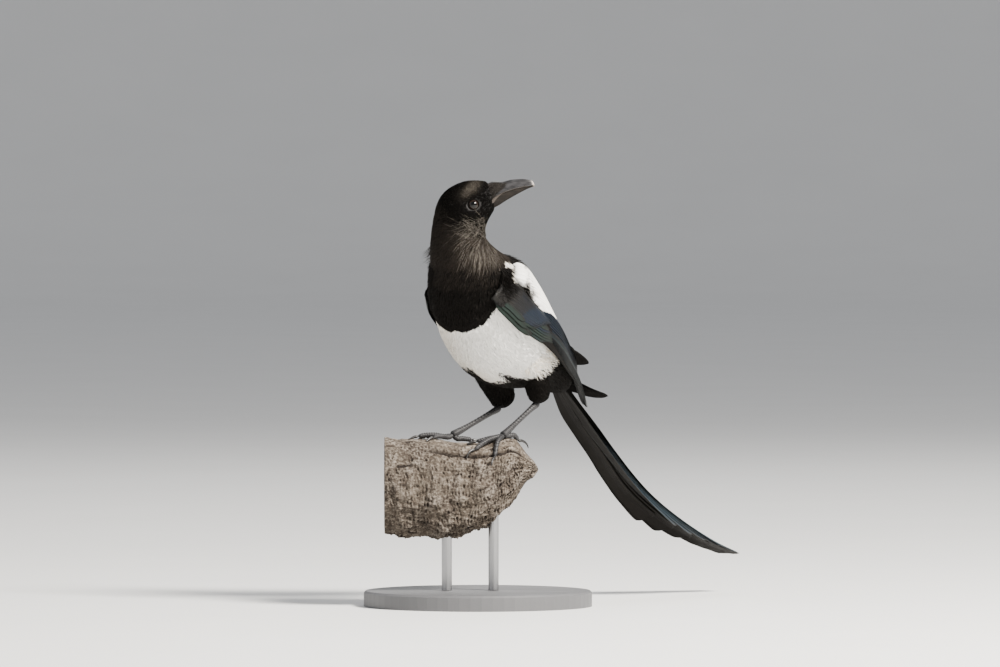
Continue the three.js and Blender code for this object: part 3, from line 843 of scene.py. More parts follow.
@dataclass(frozen=True)
class StandFinish:
    """The stand's satin metal, brushed and lightly handled."""

    name: str
    color: Color
    metal: float
    roughness: float

    def build(self) -> bpy.types.Material:
        """Make the material."""
        material, graph, shader = new_material(self.name)
        brushed = graph.noise(500, 3, (1, 1, 0.05))
        rough = graph.span(graph.noise(25, 4), 0.3, 0.7, self.roughness, self.roughness + 0.12)
        paint(graph, shader, graph.mix(brushed, scaled(self.color, 0.85), self.color), rough)
        graph.give(shader, {"Metallic": self.metal})
        bump(graph, shader, brushed, 0.00005, 0.3)
        return material


@dataclass
class Head:
    """The head's own axes, from which its bill, eyes and lids are placed."""

    centre: tuple[float, float, float] = (5.5, -10, 309)
    turn: float = 128
    pitch: float = 15

    def axes(self) -> tuple[Array, Array, Array]:
        """The unit vectors forward, to the left and up."""
        turn, pitch = math.radians(self.turn), math.radians(self.pitch)
        flat = math.cos(pitch)
        forward = np.array([math.sin(turn) * flat, -math.cos(turn) * flat, math.sin(pitch)])
        left = np.array([math.cos(turn), math.sin(turn), 0.0])
        return forward, left, np.cross(forward, left)

    def place(self, forward: float, left: float, up: float) -> Array:
        """A place given in millimetres along the head's axes."""
        axes = self.axes()
        return np.array(self.centre) + forward * axes[0] + left * axes[1] + up * axes[2]

    def local(self, places: Array) -> Array:
        """Places in the head's own forward, left and up."""
        return (places - np.array(self.centre)) @ np.stack(self.axes(), -1)


HEAD = Head()

BODY = Loft(
    np.array(
        [
            [0, 97, 164, 0, 42, 0, 12, 7, 7, 0],  # tail root
            [0, 78, 181, 0, 41, 0, 23, 13, 19, 0],  # vent
            [0, 56, 197, 0, 40, 0, 34.5, 19.5, 38, 0],  # hind belly
            [0, 33, 212, 0, 41, 0, 40, 25.5, 47, 0],  # belly
            [0, 12, 229, 0, 45, 0, 40, 29.5, 45, 0],  # breast
            [1, -2, 246, 10, 57, 0, 37.5, 32, 36, 0],  # shoulders
            [2.5, -9.5, 263, 32, 73, 0, 32, 29, 27.5, 0],  # neck base
            [-1.5, -17, 279, 68, 80, 0, 24, 23, 22.5, 0],  # neck
            [-3, -18, 292, 100, 66, 0, 19.5, 21.5, 22.5, 0],  # nape
            [0, -16, 302, 120, 46, 0, 18.5, 22.5, 23.5, 0],  # hind crown
            [6, -10.5, 309, 128, 27, 0, 16, 20, 19, 0],  # crown
            [12.5, -5, 313, 128, 17, 0, 11.5, 15.6, 13, 0],  # forehead
            [18, -0.5, 315.5, 128, 15, 0, 7, 11.5, 7, 0],  # bill root
        ],
        float,
    ),
    (0.05, 0.05),
)

# The places and radii down each thigh.
RIGHT_THIGH = [(-17, 22, 190, 13), (-18, 35.5, 175, 11.6), (-17, 45.5, 160, 9.8), (-16, 46, 151.3, 6.8)]
LEFT_THIGH = [(14, 42, 187, 11), (15.5, 48.5, 174.5, 9.8), (16, 51.5, 163, 8.3), (15.5, 52.5, 155.5, 6)]
THIGHS = [rope(points, (0.3, 0.2)) for points in (RIGHT_THIGH, LEFT_THIGH)]


def bib_edge(places: Array) -> Array:
    """The height of the bib's lower edge, with shallow scallops.

    The edge rises aside from the middle of the breast, by the square of the distance on the right and
    by its fourth power on the left, where the turned neck draws the bib round.

    Args:
        places: Points in millimetres on the body.

    Returns:
        The edge's height at each point.
    """
    x, y = places[..., 0], places[..., 1]
    scallop = 0.5 * np.sin(x / 2.4 + 0.4) + 0.2 * np.sin(x / 1.1)
    rise = np.where(x < 0, 0.017 * x**2, 0.0022 * x**2 + 1.36e-5 * x**4)
    return 211.5 + rise + scallop - np.maximum(y + 8, 0) * 0.1


def shoulder_mark(places: Array) -> Array:
    """1 in the small white patch ahead of each shoulder, above a slanting line, where the scapulars start."""
    away = np.stack([np.abs(places[..., 0]) - 34.0, places[..., 1] - 2.0, places[..., 2] - 257.0], -1)
    above_wing = places[..., 2] + 2.3 * (places[..., 1] + 4) - 261.5
    return smooth_step(8.0 - np.linalg.norm(away, axis=-1), -0.6, 0.6) * smooth_step(above_wing, -0.8, 0.8)


def white_mark(places: Array) -> Array:
    """How white the coat is at each place: the belly and flanks below the bib and ahead of the vent.

    The vent's edge is a slanting plane that falls back by the square of the distance aside, with one
    black notch, and the white ends above the wing's lower edge. The right thigh's black reaches
    forward low down, and a small patch ahead of each shoulder joins the white scapulars.

    Args:
        places: Points in millimetres on the body.

    Returns:
        1 in the white, 0 in the black.
    """
    x, y, z = places[..., 0], places[..., 1], places[..., 2]
    under_bib = smooth_step(bib_edge(places) - z, -0.8, 0.8)
    behind = y * 0.75 + (200 - z) * 0.55
    wedge = 19 * np.exp(-(((x - 17) / 2.6) ** 2))
    vent = 26 + 0.034 * np.minimum(x**2, 450) + 1.0 * np.sin(x / 2.1) - wedge
    ahead_of_vent = smooth_step(vent - behind, -1.0, 1.0)
    back = z - (252 - 0.85 * y)
    below_back = smooth_step(-back, -1.0, 1.0)
    thigh = smooth_step(183 - z, 0, 3) * smooth_step(-x, -1, 3) * smooth_step(y + 22, 0, 4)
    return np.maximum(under_bib * ahead_of_vent * below_back * (1 - thigh), shoulder_mark(places))


def coat_depth(share: Array) -> Array:
    """The coat's depth over the skin: 3 mm on the trunk, 2 on the neck and about 1 on the face."""
    return 3.0 - 1.2 * smooth_step(share, 0.45, 0.62) - 1.0 * smooth_step(share, 0.68, 0.82)


@dataclass
class SkinSurface:
    """The one skin of the body and thighs that lies inside the coat."""

    rows: int = 220
    ring: int = 120
    thigh_rows: int = 40
    thigh_ring: int = 32
    body_width: float = 0.8  # the share of the bake map that the body takes

    def build(self) -> bpy.types.Object:
        """Make the skin and let it stand for the nodes of flesh."""
        maker = MeshMaker("skin")
        share, angle = share_grid(self.rows, self.ring)
        body = BODY.surface(share, angle, -coat_depth(share))[None]
        outer = BODY.surface(share, angle)[None]
        body = self._sockets(body)
        cells = np.array([[0, 0, self.body_width, 1]], float)
        maker.add_tubes(body, cells, white=white_mark(outer))
        for index, form in enumerate(THIGHS):
            low = self.body_width + 0.01 + 0.1 * index
            rings = form_rings(form, self.thigh_rows, self.thigh_ring, -2.0)
            maker.add_tubes(rings, np.array([[low, 0, low + 0.08, 1]]), white=np.zeros((1, 1, 1)))
        finish = UnderdownFinish("underdown", (0.008, 0.007, 0.007), (0.55, 0.5, 0.44))
        piece = maker.make([finish.build()])
        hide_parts("head", "neck", "breast", "belly", "vent", "thigh_left", "thigh_right")
        return piece

    def _sockets(self, body: Array) -> Array:
        """Press the skin in about each eye, by a round well whose rim is the lid's."""
        local = HEAD.local(body)
        eye = EyePair()
        away = np.hypot(local[..., 0] - eye.forward, local[..., 2] - eye.up)
        press = 1.6 * smooth_step(eye.opening + 1.2 - away, 0.0, 2.4)
        outward = np.sign(local[..., 1])[..., None] * HEAD.axes()[1]
        return body - outward * np.where(np.abs(local[..., 1]) > 6, press, 0.0)[..., None]


def body_spot(share: Array, angle: Array) -> Array:
    """A root's place on the unwrap of the skin's own shape."""
    return np.stack([0.8 * (angle % TURN) / TURN, share * 0.996], -1)


def thigh_spot(share: Array, angle: Array, low: float) -> Array:
    """A root's place on the part of the bake map that a thigh takes, from a low edge on."""
    return np.stack([low + 0.08 * (angle % TURN) / TURN, share * 0.996], -1)


def below(places: Array, share: Array, angle: Array, top: float) -> Array:
    """1 below a height."""
    return (places[..., 2] < top) * 1.0


def at_each(rule: Rule, share: Array) -> Array:
    """A rule's value at each share: the rule is one number, or a function of the share."""
    return rule(share) if callable(rule) else np.full_like(share, rule)


def root_depth(share: Array) -> Array:
    """How deep most tufts are rooted: a little under the skin."""
    return coat_depth(share) + 0.3


@dataclass
class TuftField:
    """One field of tufts that lie over a form from skin to tip.

    A tuft's middle line starts on the skin and runs along the form. Its height above the form is
    minus the coat's depth by (1 - t)^1.5, plus its own lift by t^2. The section is a low ridge.
    """

    count: int
    shares: tuple[float, float]
    length: Rule
    width: Rule
    depth: Rule = root_depth
    lift: tuple[float, float] = (0.0, 0.7)
    angles: tuple[float, float] = (0.0, TURN)
    drift: float = 0.1
    heading: int = -1  # -1 lies towards the tail, 1 towards the bill
    tone: tuple[float, float] = (0.0, 1.0)
    keep: Callable[[Array, Array, Array], Array] | None = None
    keep_at: float = 0.0  # where along a tuft its keep is asked
    # shade: more tone by place, which carries the painted light and shade of the head, neck and belly
    shade: Callable[[Array], Array] | None = None  # more tone by place
    seed: int = 0  # added to the script's own
    ridge: float = 0.35
    rows: int = 3
    form: Loft = BODY
    spot: Callable[[Array, Array], Array] = body_spot  # the bake map's place for a root

    def sow(self) -> tuple[Array, Array, np.random.Generator]:
        """Roots spread evenly over the form's area within the field, less what keep leaves out."""
        rng = np.random.default_rng(SEED + self.seed)
        many = self.count * 14
        share = rng.uniform(*self.shares, many)
        angle = rng.uniform(*self.angles, many)
        along, about = self.form.tangents(share, angle)
        area = np.linalg.norm(np.cross(about, along), axis=-1)
        kept = rng.uniform(0, np.quantile(area, 0.995), many) < area
        if self.keep is not None:
            speed = np.maximum(np.linalg.norm(along, axis=-1), 1e-6)
            reach = self.heading * self.keep_at * at_each(self.length, share) / speed
            there = np.clip(share + reach, 0.002, 0.998)
            kept &= rng.uniform(0, 1, many) < self.keep(self.form.surface(there, angle), share, angle)
        chosen = np.flatnonzero(kept)[: self.count]
        return share[chosen], angle[chosen], rng

    def grow(self, maker: MeshMaker) -> None:
        """Add the tufts to a piece."""
        share, angle, rng = self.sow()
        many = len(share)
        along, _ = self.form.tangents(share, angle)
        length = at_each(self.length, share) * rng.uniform(0.75, 1.25, many)
        width = at_each(self.width, share) * rng.uniform(0.7, 1.3, many)
        reach = self.heading * length / np.maximum(np.linalg.norm(along, axis=-1), 1e-6)
        t = np.linspace(0, 1, self.rows + 1)
        turn = self.drift * rng.normal(size=many)
        shares = np.clip(share[:, None] + reach[:, None] * t, 0.002, 0.998)
        angles = angle[:, None] + turn[:, None] * t**1.5
        lift = rng.uniform(*self.lift, many)[:, None]
        height = -at_each(self.depth, share)[:, None] * (1 - t) ** 1.5 + lift * t**2
        middle = self.form.surface(shares, angles, height)
        normal = self.form.normal(shares, angles)
        ahead = unit(np.gradient(middle, axis=1))
        across = unit(np.cross(ahead, normal))
        taper = (0.55 + 0.45 * np.minimum(t / 0.3, 1)) * np.sqrt(np.maximum(1 - t**1.7, 0))
        half = 0.5 * width[:, None, None] * taper[None, :, None]
        edges = [middle - across * half, middle + normal * half * self.ridge * 2, middle + across * half]
        rings = np.stack(edges, 2)[:, : self.rows]
        corner = self.spot(share, angle)
        cells = np.hstack([corner, corner + BAKE_PATCH])
        tone = rng.uniform(*self.tone, many)[:, None, None]
        if self.shade is not None:
            tone = tone + self.shade(self.form.surface(share, angle))[:, None, None]
        maker.add_tubes(rings, cells, np.array([0.0, 0.5, 1.0]), middle[:, -1], tone=tone)


def tufted(name: str, finish: bpy.types.Material, slot: Slot, *fields: TuftField) -> bpy.types.Object:
    """Make one piece of fields of tufts.

    Args:
        name: The piece's name.
        finish: Its material.
        slot: A material slot's name; not used.
        fields: The fields, in the order in which they are added.

    Returns:
        The piece.
    """
    maker = MeshMaker(name)
    for tufts in fields:
        tufts.grow(maker)
    return maker.make([finish])


def brow_highlight_band(forward: Array, up: Array) -> Array:
    """A slanting bell over the eye that rises towards the forehead, in the head's own lengths, where the
    head's painted highlight lies.
    """
    along = 0.87 * (forward - 3.5) + 0.49 * (up - 13.2)
    over = -0.49 * (forward - 3.5) + 0.87 * (up - 13.2)
    return np.exp(-((along / 8.5) ** 2) - (over / 4.2) ** 2)


def face_shade(places: Array) -> Array:
    """How pale the tufts of the head are: a painted highlight above the eye and curled pale tips on the
    cheek.

    The painted highlight falls off as a bell about a place over the eye. The cheek's marks are a smooth field
    cut at a level, within soft edges ahead, above and below.

    Args:
        places: Roots in millimetres.

    Returns:
        The tone to add at each root.
    """
    forward, _, up = np.moveaxis(HEAD.local(places), -1, 0)
    # painted highlight: paler tufts in a slanting band over the eye, rising towards the forehead
    brow_highlight = brow_highlight_band(forward, up) * (0.9 + 0.15 * waves(places, 3.0, 61))
    curls = smooth_step(waves(places, 2.2, 62, 9), 0.2, 1.1)
    cheek = smooth_step(9 - forward, 0, 9) * smooth_step(-7 - up, 0, 6) * smooth_step(forward + 17, 0, 6)
    return 0.85 * brow_highlight + (0.02 + 0.22 * curls) * cheek


def lit_throat_bell(places: Array) -> Array:
    """A bell about the lit side of the throat, where the key light falls on the turned neck."""
    away = (places - np.array([19.0, -17.0, 278.0])) / np.array([16.0, 16.0, 18.0])
    return np.exp(-(away**2).sum(-1))


def throat_painted_light(places: Array) -> Array:
    """How brown the neck is: painted light, most on the lit side of the throat below the chin."""
    return 0.4 * lit_throat_bell(places) * (1 + 0.4 * waves(places, 4.0, 64))


def belly_painted_light(places: Array) -> Array:
    """How pale the belly is: painted light and shade, white on its left where the key light falls, cream on
    its right and low down.
    """
    return 0.75 * smooth_step(places[..., 0], -12, 26) - 0.35 * smooth_step(200 - places[..., 2], 0, 26)


def in_black(places: Array, share: Array, angle: Array) -> Array:
    """1 in the black of the coat."""
    return 1.0 - np.round(white_mark(places))


def in_white(places: Array, share: Array, angle: Array) -> Array:
    """1 in the white of the coat."""
    return np.round(white_mark(places))


def in_shoulder_patch(places: Array, share: Array, angle: Array) -> Array:
    """1 in the small white patches ahead of the shoulders."""
    return np.round(shoulder_mark(places))


def in_black_throughout(places: Array, share: Array, angle: Array) -> Array:
    """1 where a tuft's root and the place that is asked for are both in the black."""
    return in_black(places, share, angle) * in_black(BODY.surface(share, angle), share, angle)


def under_chin(places: Array, share: Array, angle: Array) -> Array:
    """Most on the lit side of the throat under the chin, in clumps, and none low on the breast: real streaks,
    kept only where the light falls.
    """
    clumps = 0.2 + 0.8 * smooth_step(waves(places * np.array([1, 1, 0.2]), 3.2, 63), -0.1, 0.9)
    return smooth_step(lit_throat_bell(places), 0.12, 0.85) * clumps


def on_cheeks(places: Array, share: Array, angle: Array) -> Array:
    """1 on the cheeks, fading at their edges, and a little in the painted highlight over the eye."""
    forward, _, up = np.moveaxis(HEAD.local(places), -1, 0)
    cheek = smooth_step(10 - forward, 0, 7) * smooth_step(-7 - up, 0, 5) * smooth_step(forward + 17, 0, 5)
    low = smooth_step(up + 27, 0, 8)
    return np.clip(cheek * low + 0.1 * brow_highlight_band(forward, up), 0, 1)


@dataclass
class Coat:
    """The contour feathers in their fields, from the face to the vent."""

    eye_clear: float = 4.9
    hem_height: float = 3.4
    thigh_top: tuple[float, float] = (184.0, 176.0)  # the height where each of THIGHS leaves the body
    velvet: TuftFinish = TuftFinish(
        "black contour feathers", (0.001, 0.0009, 0.0008), (0.0075, 0.0064, 0.0056), specular=0.06
    )
    # the light end is painted light, reached on the lit side of the throat
    throat: TuftFinish = TuftFinish(
        "neck feathers", (0.0009, 0.0008, 0.0007), (0.05, 0.041, 0.034), patch=0.1, specular=0.06
    )
    # the light end is reached by the painted highlight over the eye and by the cheek's pale tips
    face: TuftFinish = TuftFinish(
        "face feathers", (0.0007, 0.0006, 0.0005), (0.115, 0.1, 0.082), patch=0.05, tip=0.06, specular=0.05
    )
    streak: TuftFinish = TuftFinish("throat streaks", (0.012, 0.01, 0.0085), (0.16, 0.14, 0.118), patch=0.4)
    curl: TuftFinish = TuftFinish(
        "cheek curls", (0.008, 0.0068, 0.0056), (0.1, 0.088, 0.074), patch=0.5, tip=0.8
    )
    # the cream dark end is painted shade, reached on the belly's right and low down
    snow: TuftFinish = TuftFinish(
        "white belly feathers", (0.66, 0.575, 0.45), (0.97, 0.955, 0.92), patch=0.1, tip=0.25, specular=0.15
    )

    def build(self) -> list[bpy.types.Object]:
        """Make every piece of the coat."""
        velvet, snow = self.velvet.build(), self.snow.build()
        black = Slot.BLACK
        return [
            tufted("coat_head", self.face.build(), black, self._head()),
            tufted("coat_neck", self.throat.build(), black, *self._neck()),
            tufted("coat_throat_streaks", self.streak.build(), black, self._streaks()),
            tufted("coat_cheek_curls", self.curl.build(), black, *self._curls()),
            tufted("coat_breast", velvet, black, self._breast()),
            tufted("coat_bib_hem", velvet, black, self._hem()),
            tufted("coat_belly", snow, Slot.WHITE, *self._belly()),
            tufted("coat_rear", velvet, black, self._rear(), *self._thighs()),
            tufted("coat_cape", velvet, black, *self._cape()),
        ]

    def _clear_of_eyes(self, places: Array, share: Array, angle: Array) -> Array:
        """1 where a tuft may be rooted on the head, 0 about each eye."""
        local = HEAD.local(places)
        eye = EyePair()
        away = np.hypot((local[..., 0] - eye.forward - 1.3) / 1.25, local[..., 2] - eye.up)
        return np.where((away < self.eye_clear) & (np.abs(local[..., 1]) > 6), 0.0, 1.0)

    def _at_hem(self, places: Array, share: Array, angle: Array) -> Array:
        """1 in the band above the bib's edge."""
        above = places[..., 2] - bib_edge(places)
        return in_black(places, share, angle) * (above < self.hem_height) * (above > 0)

    def _head(self) -> TuftField:
        """Tiny feathers of the face and crown, shortest at the bill."""
        return TuftField(
            12400,
            (0.71, 0.99),
            length=lambda s: 4.6 - 3.0 * smooth_step(s, 0.72, 0.93),
            width=lambda s: 0.72 - 0.34 * smooth_step(s, 0.72, 0.93),
            depth=lambda s: coat_depth(s) + 0.2,
            lift=(-0.1, 0.4),
            drift=0.08,
            tone=(0.0, 0.06),
            shade=face_shade,
            keep=self._clear_of_eyes,
            seed=1,
        )

    def _neck(self) -> list[TuftField]:
        """Longer hair-like feathers of the throat and neck, and the loose wisps at the nape."""
        neck = TuftField(
            12000,
            (0.49, 0.75),
            length=lambda s: 10 - 4.5 * smooth_step(s, 0.5, 0.74),
            width=lambda s: 1.0 - 0.35 * smooth_step(s, 0.5, 0.74),
            lift=(-0.3, 0.5),
            drift=0.07,
            tone=(0.0, 0.2),
            shade=throat_painted_light,
            seed=2,
        )
        wisps = TuftField(
            190, (0.52, 0.58), 13.0, 0.42, coat_depth, lift=(2.5, 9.5), angles=(2.4, 3.0), drift=0.12, seed=8
        )
        return [neck, wisps]

    def _streaks(self) -> TuftField:
        """Pale hair-like shafts down the throat and the sides of the neck."""
        return TuftField(
            850,
            (0.53, 0.8),
            length=lambda s: 11 - 5 * smooth_step(s, 0.6, 0.78),
            width=0.24,
            depth=lambda s: coat_depth(s) * 0.2,
            lift=(0.35, 0.8),
            drift=0.03,
            keep=under_chin,
            seed=9,
        )

    def _curls(self) -> list[TuftField]:
        """Short curled barbs with pale tips on both cheeks and a few over the eyes."""
        return [
            TuftField(
                280,
                (0.66, 0.95),
                length=2.3,
                width=0.24,
                depth=lambda s: coat_depth(s) * 0.15,
                lift=(0.3, 0.75),
                drift=drift,
                tone=(0.1, 1.0),
                keep=on_cheeks,
                seed=seed,
            )
            for drift, seed in ((0.22, 21), (0.3, 22))
        ]

    def _breast(self) -> TuftField:
        """The bib and the back."""
        return TuftField(
            12400, (0.2, 0.53), 8.5, 1.4, lift=(-0.2, 0.6), drift=0.04, keep=in_black, keep_at=1.0, seed=3
        )

    def _hem(self) -> TuftField:
        """Short broad feathers that close the bib's lower edge."""
        return TuftField(
            9500,
            (0.2, 0.42),
            length=3.4,
            width=1.5,
            depth=lambda s: coat_depth(s) * 0.4,
            lift=(0.25, 0.5),
            drift=0.02,
            keep=self._at_hem,
            keep_at=1.0,
            seed=31,
        )

    def _belly(self) -> list[TuftField]:
        """The white belly and flanks, the shoulders' patches and the wisps over the wing's lower edge."""
        belly = TuftField(
            11900,
            (0.06, 0.53),
            length=14.0,
            width=1.15,
            lift=(-0.15, 0.15),
            drift=0.02,
            tone=(0.35, 0.7),
            keep=in_white,
            keep_at=0.7,
            shade=belly_painted_light,
            ridge=0.2,
            seed=4,
        )
        shoulders = TuftField(
            700,
            (0.42, 0.56),
            length=5.5,
            width=1.6,
            depth=lambda s: coat_depth(s) * 0.2,
            lift=(1.8, 4.2),
            drift=0.04,
            tone=(0.5, 0.8),
            keep=in_shoulder_patch,
            keep_at=0.6,
            ridge=0.2,
            seed=32,
        )
        wisps = [
            TuftField(
                260,
                (0.16, 0.23),
                length=11.0,
                width=0.6,
                depth=coat_depth,
                lift=(1.0, 5.0),
                angles=angles,
                drift=0.12,
                keep=in_white,
                seed=seed,
            )
            for angles, seed in (((-0.75, -0.15), 12), ((math.pi + 0.15, math.pi + 0.75), 13))
        ]
        return [belly, shoulders, *wisps]

    def _rear(self) -> TuftField:
        """The vent and the rump."""
        return TuftField(
            5400, (0.02, 0.24), 12.0, 1.5, lift=(-0.3, 1.0), drift=0.07, keep=in_black, keep_at=0.5, seed=5
        )

    def _thighs(self) -> list[TuftField]:
        """Both thighs, below the height at which they leave the body."""
        fields = []
        for index, (form, top) in enumerate(zip(THIGHS, self.thigh_top, strict=True)):
            spot = partial(thigh_spot, low=0.81 + 0.1 * index)
            fields.append(
                TuftField(
                    3300,
                    (0.05, 0.95),
                    length=lambda s: 11 - 4 * s,
                    width=1.1,
                    depth=2.3,
                    lift=(-0.3, 1.2),
                    drift=0.14,
                    heading=1,
                    keep=partial(below, top=top),
                    keep_at=0.3,
                    seed=6 + index,
                    form=form,
                    spot=spot,
                )
            )
        return fields

    def _cape(self) -> list[TuftField]:
        """Longer feathers of the shoulders that lie over the front of each folded wing."""
        fronts = ((-0.6, 0.25, 9.5, 14), (math.pi - 0.25, math.pi + 0.6, 3.0, 15))
        mantle = ((0.15, 1.2, 7.5, 16), (math.pi - 1.2, math.pi - 0.15, 7.5, 17))
        return [
            TuftField(
                1900,
                (0.405, 0.52),
                length=lambda s: 14 - 4 * smooth_step(s, 0.42, 0.5),
                width=1.2,
                depth=coat_depth,
                lift=(0.3, lift),
                angles=(low, high),
                drift=0.07,
                keep=in_black_throughout,
                keep_at=0.9,
                seed=seed,
            )
            for low, high, lift, seed in (*fronts, *mantle)
        ]


@dataclass
class EyePair:
    """Both eyes and their lids. An eye is a sphere with its pole on the pupil's axis."""

    radius: float = 4.6
    forward: float = 0.5
    aside: float = 13.0
    up: float = 0.3
    opening: float = 4.0  # the lid ring's radius
    lid: float = 0.55  # the lid ring's own thickness
    rings: int = 28
    around: int = 40

    def build(self) -> list[bpy.types.Object]:
        """Make the eyes and the lids of both sides."""
        gloss = EyeFinish().build()
        lid_skin = BareSkinFinish(
            "eyelid skin",
            (0.0016, 0.0014, 0.0013),
            (0.0007, 0.0006, 0.0006),
            # the lower lid's painted reflection
            rim=(0.03, 0.027, 0.024),
            specular=0.04,
        ).build()
        made = []
        for side in Side:
            made.append(self._ball(side, gloss))
            made.append(self._lid(side, lid_skin))
        return made

    def _axes(self, side: Side) -> tuple[Array, Array, Array, Array]:
        """An eye's centre, its outward axis and two level axes across it."""
        forward, left, up = HEAD.axes()
        out = unit(left * side.value + forward * 0.16 + up * 0.03)
        ahead = unit(np.cross(up, out))
        return HEAD.place(self.forward, side.value * self.aside, self.up), out, ahead, np.cross(out, ahead)

    def _ball(self, side: Side, gloss: bpy.types.Material) -> bpy.types.Object:
        """The eyeball: radius by the cosine of a polar angle along the axis, by its sine across it."""
        centre, out, ahead, over = self._axes(side)
        polar = np.linspace(0.02, math.pi - 0.02, self.rings)[:, None]
        turn = (np.arange(self.around) * TURN / self.around)[None]
        bulge = 1 + 0.035 * np.exp(-((polar / 0.75) ** 2))
        across = self.radius * bulge * np.sin(polar)
        points = (
            centre
            + out * (self.radius * bulge * np.cos(polar) + 0 * turn)[..., None]
            + ahead * (across * np.cos(turn))[..., None]
            + over * (across * np.sin(turn))[..., None]
        )
        maker = MeshMaker(f"eyeball_{side.word}")
        away = np.broadcast_to(np.where(polar < 1.57, np.sin(polar), 1.0), (self.rings, self.around))
        maker.add_tubes(points[None], WHOLE_MAP, away=away[None])
        piece = maker.make([gloss])
        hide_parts(f"eye_{side.word}")
        return piece

    def _lid(self, side: Side, skin: bpy.types.Material) -> bpy.types.Object:
        """The lids: a ring of small folds on the ball, flattened above and below into an almond, with a
        painted reflection along the lower lid.
        """
        centre, out, ahead, over = self._axes(side)
        rows, ring = 72, 12
        turn = (np.arange(rows + 1) * TURN / rows)[:, None]
        tube = (np.arange(ring) * TURN / ring)[None]
        thick = self.lid * (1 + 0.18 * np.sin(turn * 24) * np.cos(tube / 2) ** 2)
        wide = self.opening * (1 + 0.05 * np.cos(turn * 2)) + thick * np.cos(tube)
        height = math.sqrt(self.radius**2 - self.opening**2) + 0.12 + thick * np.sin(tube)
        points = (
            centre
            + out * (height + 0 * turn)[..., None]
            + ahead * (wide * np.cos(turn))[..., None]
            + over * (wide * np.sin(turn))[..., None]
        )
        maker = MeshMaker(f"eyelids_{side.word}")
        # painted reflection: a pale arc along the lower lid
        lower = smooth_step(-np.sin(turn), 0.35, 0.9) * smooth_step(np.cos(tube), 0.0, 0.8)
        maker.add_tubes(points[None], WHOLE_MAP, pale=lower[None])
        return maker.make([skin])


@dataclass
class Bill:
    """The closed bill, its nostril bristles and its gape, along the line where its halves meet.

    A row is the distance forward, the height of that line, the half width, the height of the upper
    half and the depth of the lower one.
    """

    rows: tuple[tuple[float, ...], ...] = (
        (9, -2.6, 6.4, 14, 3.2),
        (17, 1.6, 5.6, 11.6, 6.4),
        (25, 3.7, 4.6, 7.7, 6),
        (33, 4.3, 3.5, 6.7, 4.5),
        (40.5, 4, 2.5, 5.5, 2.4),
        (45.5, 3.6, 1.8, 4, 1.2),
        (48.8, 3.1, 0.9, 2.3, 0.6),
    )
    bristles: int = 1500

    def half_form(self, upper: bool) -> Loft:
        """The form of one half of the bill."""
        made = []
        for forward, line, half, above, below in self.rows:
            place = HEAD.place(forward, 0, line + (0.1 if upper else -0.1))
            high, low, wide = (above, 0.0, half) if upper else (0.0, below, half * 0.9)
            made.append([*place, HEAD.turn, HEAD.pitch, 0, wide, high, low, 0])
        return Loft(np.array(made), (0.06, 0.05))

    def build(self) -> list[bpy.types.Object]:
        """Make both halves and the bristles."""
        worn, lower_worn = (0.34, 0.3, 0.27), (0.2, 0.17, 0.14)
        upper_horn = HornFinish("bill horn", (0.011, 0.0105, 0.0115), worn, 0.34, 0.93, 0.4)
        lower_horn = HornFinish("lower bill horn", (0.009, 0.0074, 0.0063), lower_worn, 0.55, 0.96, 0.12)
        pieces = []
        for upper, horn in ((True, upper_horn.build()), (False, lower_horn.build())):
            form = self.half_form(upper)
            share, angle = share_grid(90, 48)
            rise = np.sin(angle)
            peak = 0.5 * np.maximum(rise if upper else -rise, 0) ** 6
            pinch = -0.35 * np.abs(np.cos(angle)) ** 8 * np.abs(rise) ** 0.5
            rings = form.surface(share, angle, (peak + pinch) * form.opening(share))[None]
            maker = MeshMaker("bill_upper_horn" if upper else "bill_lower_horn")
            maker.add_tubes(rings, WHOLE_MAP)
            piece = maker.make([horn])
            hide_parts("bill_upper" if upper else "bill_lower")
            pieces.append(piece)
        pieces.append(self._bristles())
        pieces.append(self._gape())
        return pieces

    def _gape(self) -> bpy.types.Object:
        """The pale wrinkled fold at each corner of the mouth, which thins to the line between the halves."""
        maker = MeshMaker("gape_folds")
        table = np.array(self.rows)
        forward = np.linspace(8.0, 44.0, 12)
        line = np.interp(forward, table[:, 0], table[:, 1])
        half = np.interp(forward, table[:, 0], table[:, 2])
        thick = 0.2 + 1.5 * smooth_step(25 - forward, 0, 13)
        skins = BareSkinFinish("gape skin", (0.075, 0.062, 0.053), (0.014, 0.011, 0.0095)).build()
        for way, cell in zip((-1, 1), grid_cells(2), strict=True):
            aside, down = way * (half - 0.4 * thick), line - 0.7 * thick
            places = [HEAD.place(*spot) for spot in zip(forward, aside, down, strict=True)]
            fold = rope([(*place, r) for place, r in zip(places, thick, strict=True)])
            rings = form_rings(fold, 90, 14, 0.0, lambda s, a: 0.16 * np.sin(s * 170) * np.cos(a) ** 2)
            maker.add_tubes(rings, cell[None])
        return maker.make([skins])

    def _bristles(self) -> bpy.types.Object:
        """Stiff bristles that lie forward over the nostrils."""
        finish = TuftFinish(
            "bristles", (0.0016, 0.0014, 0.0013), (0.024, 0.021, 0.019), 0.7, patch=0.2, specular=0.08
        )
        fringe = TuftField(
            self.bristles,
            (0.02, 0.3),
            length=lambda s: 9 - 12 * np.maximum(s - 0.1, 0),
            width=0.4,
            depth=0.1,
            lift=(0.15, 1.3),
            angles=(0.06, math.pi - 0.06),
            drift=0.14,
            heading=1,
            keep=self._in_wedge,
            seed=20,
            form=self.half_form(True),
        )
        return tufted("nostril_bristles", finish.build(), Slot.BLACK, fringe)

    @staticmethod
    def _in_wedge(places: Array, share: Array, angle: Array) -> Array:
        """1 in a wedge that reaches furthest forward half way up the side."""
        beside = np.minimum(angle, math.pi - angle)
        return smooth_step(0.02 + 0.25 * np.exp(-(((beside - 0.7) / 0.5) ** 2)) - share, -0.02, 0.05)


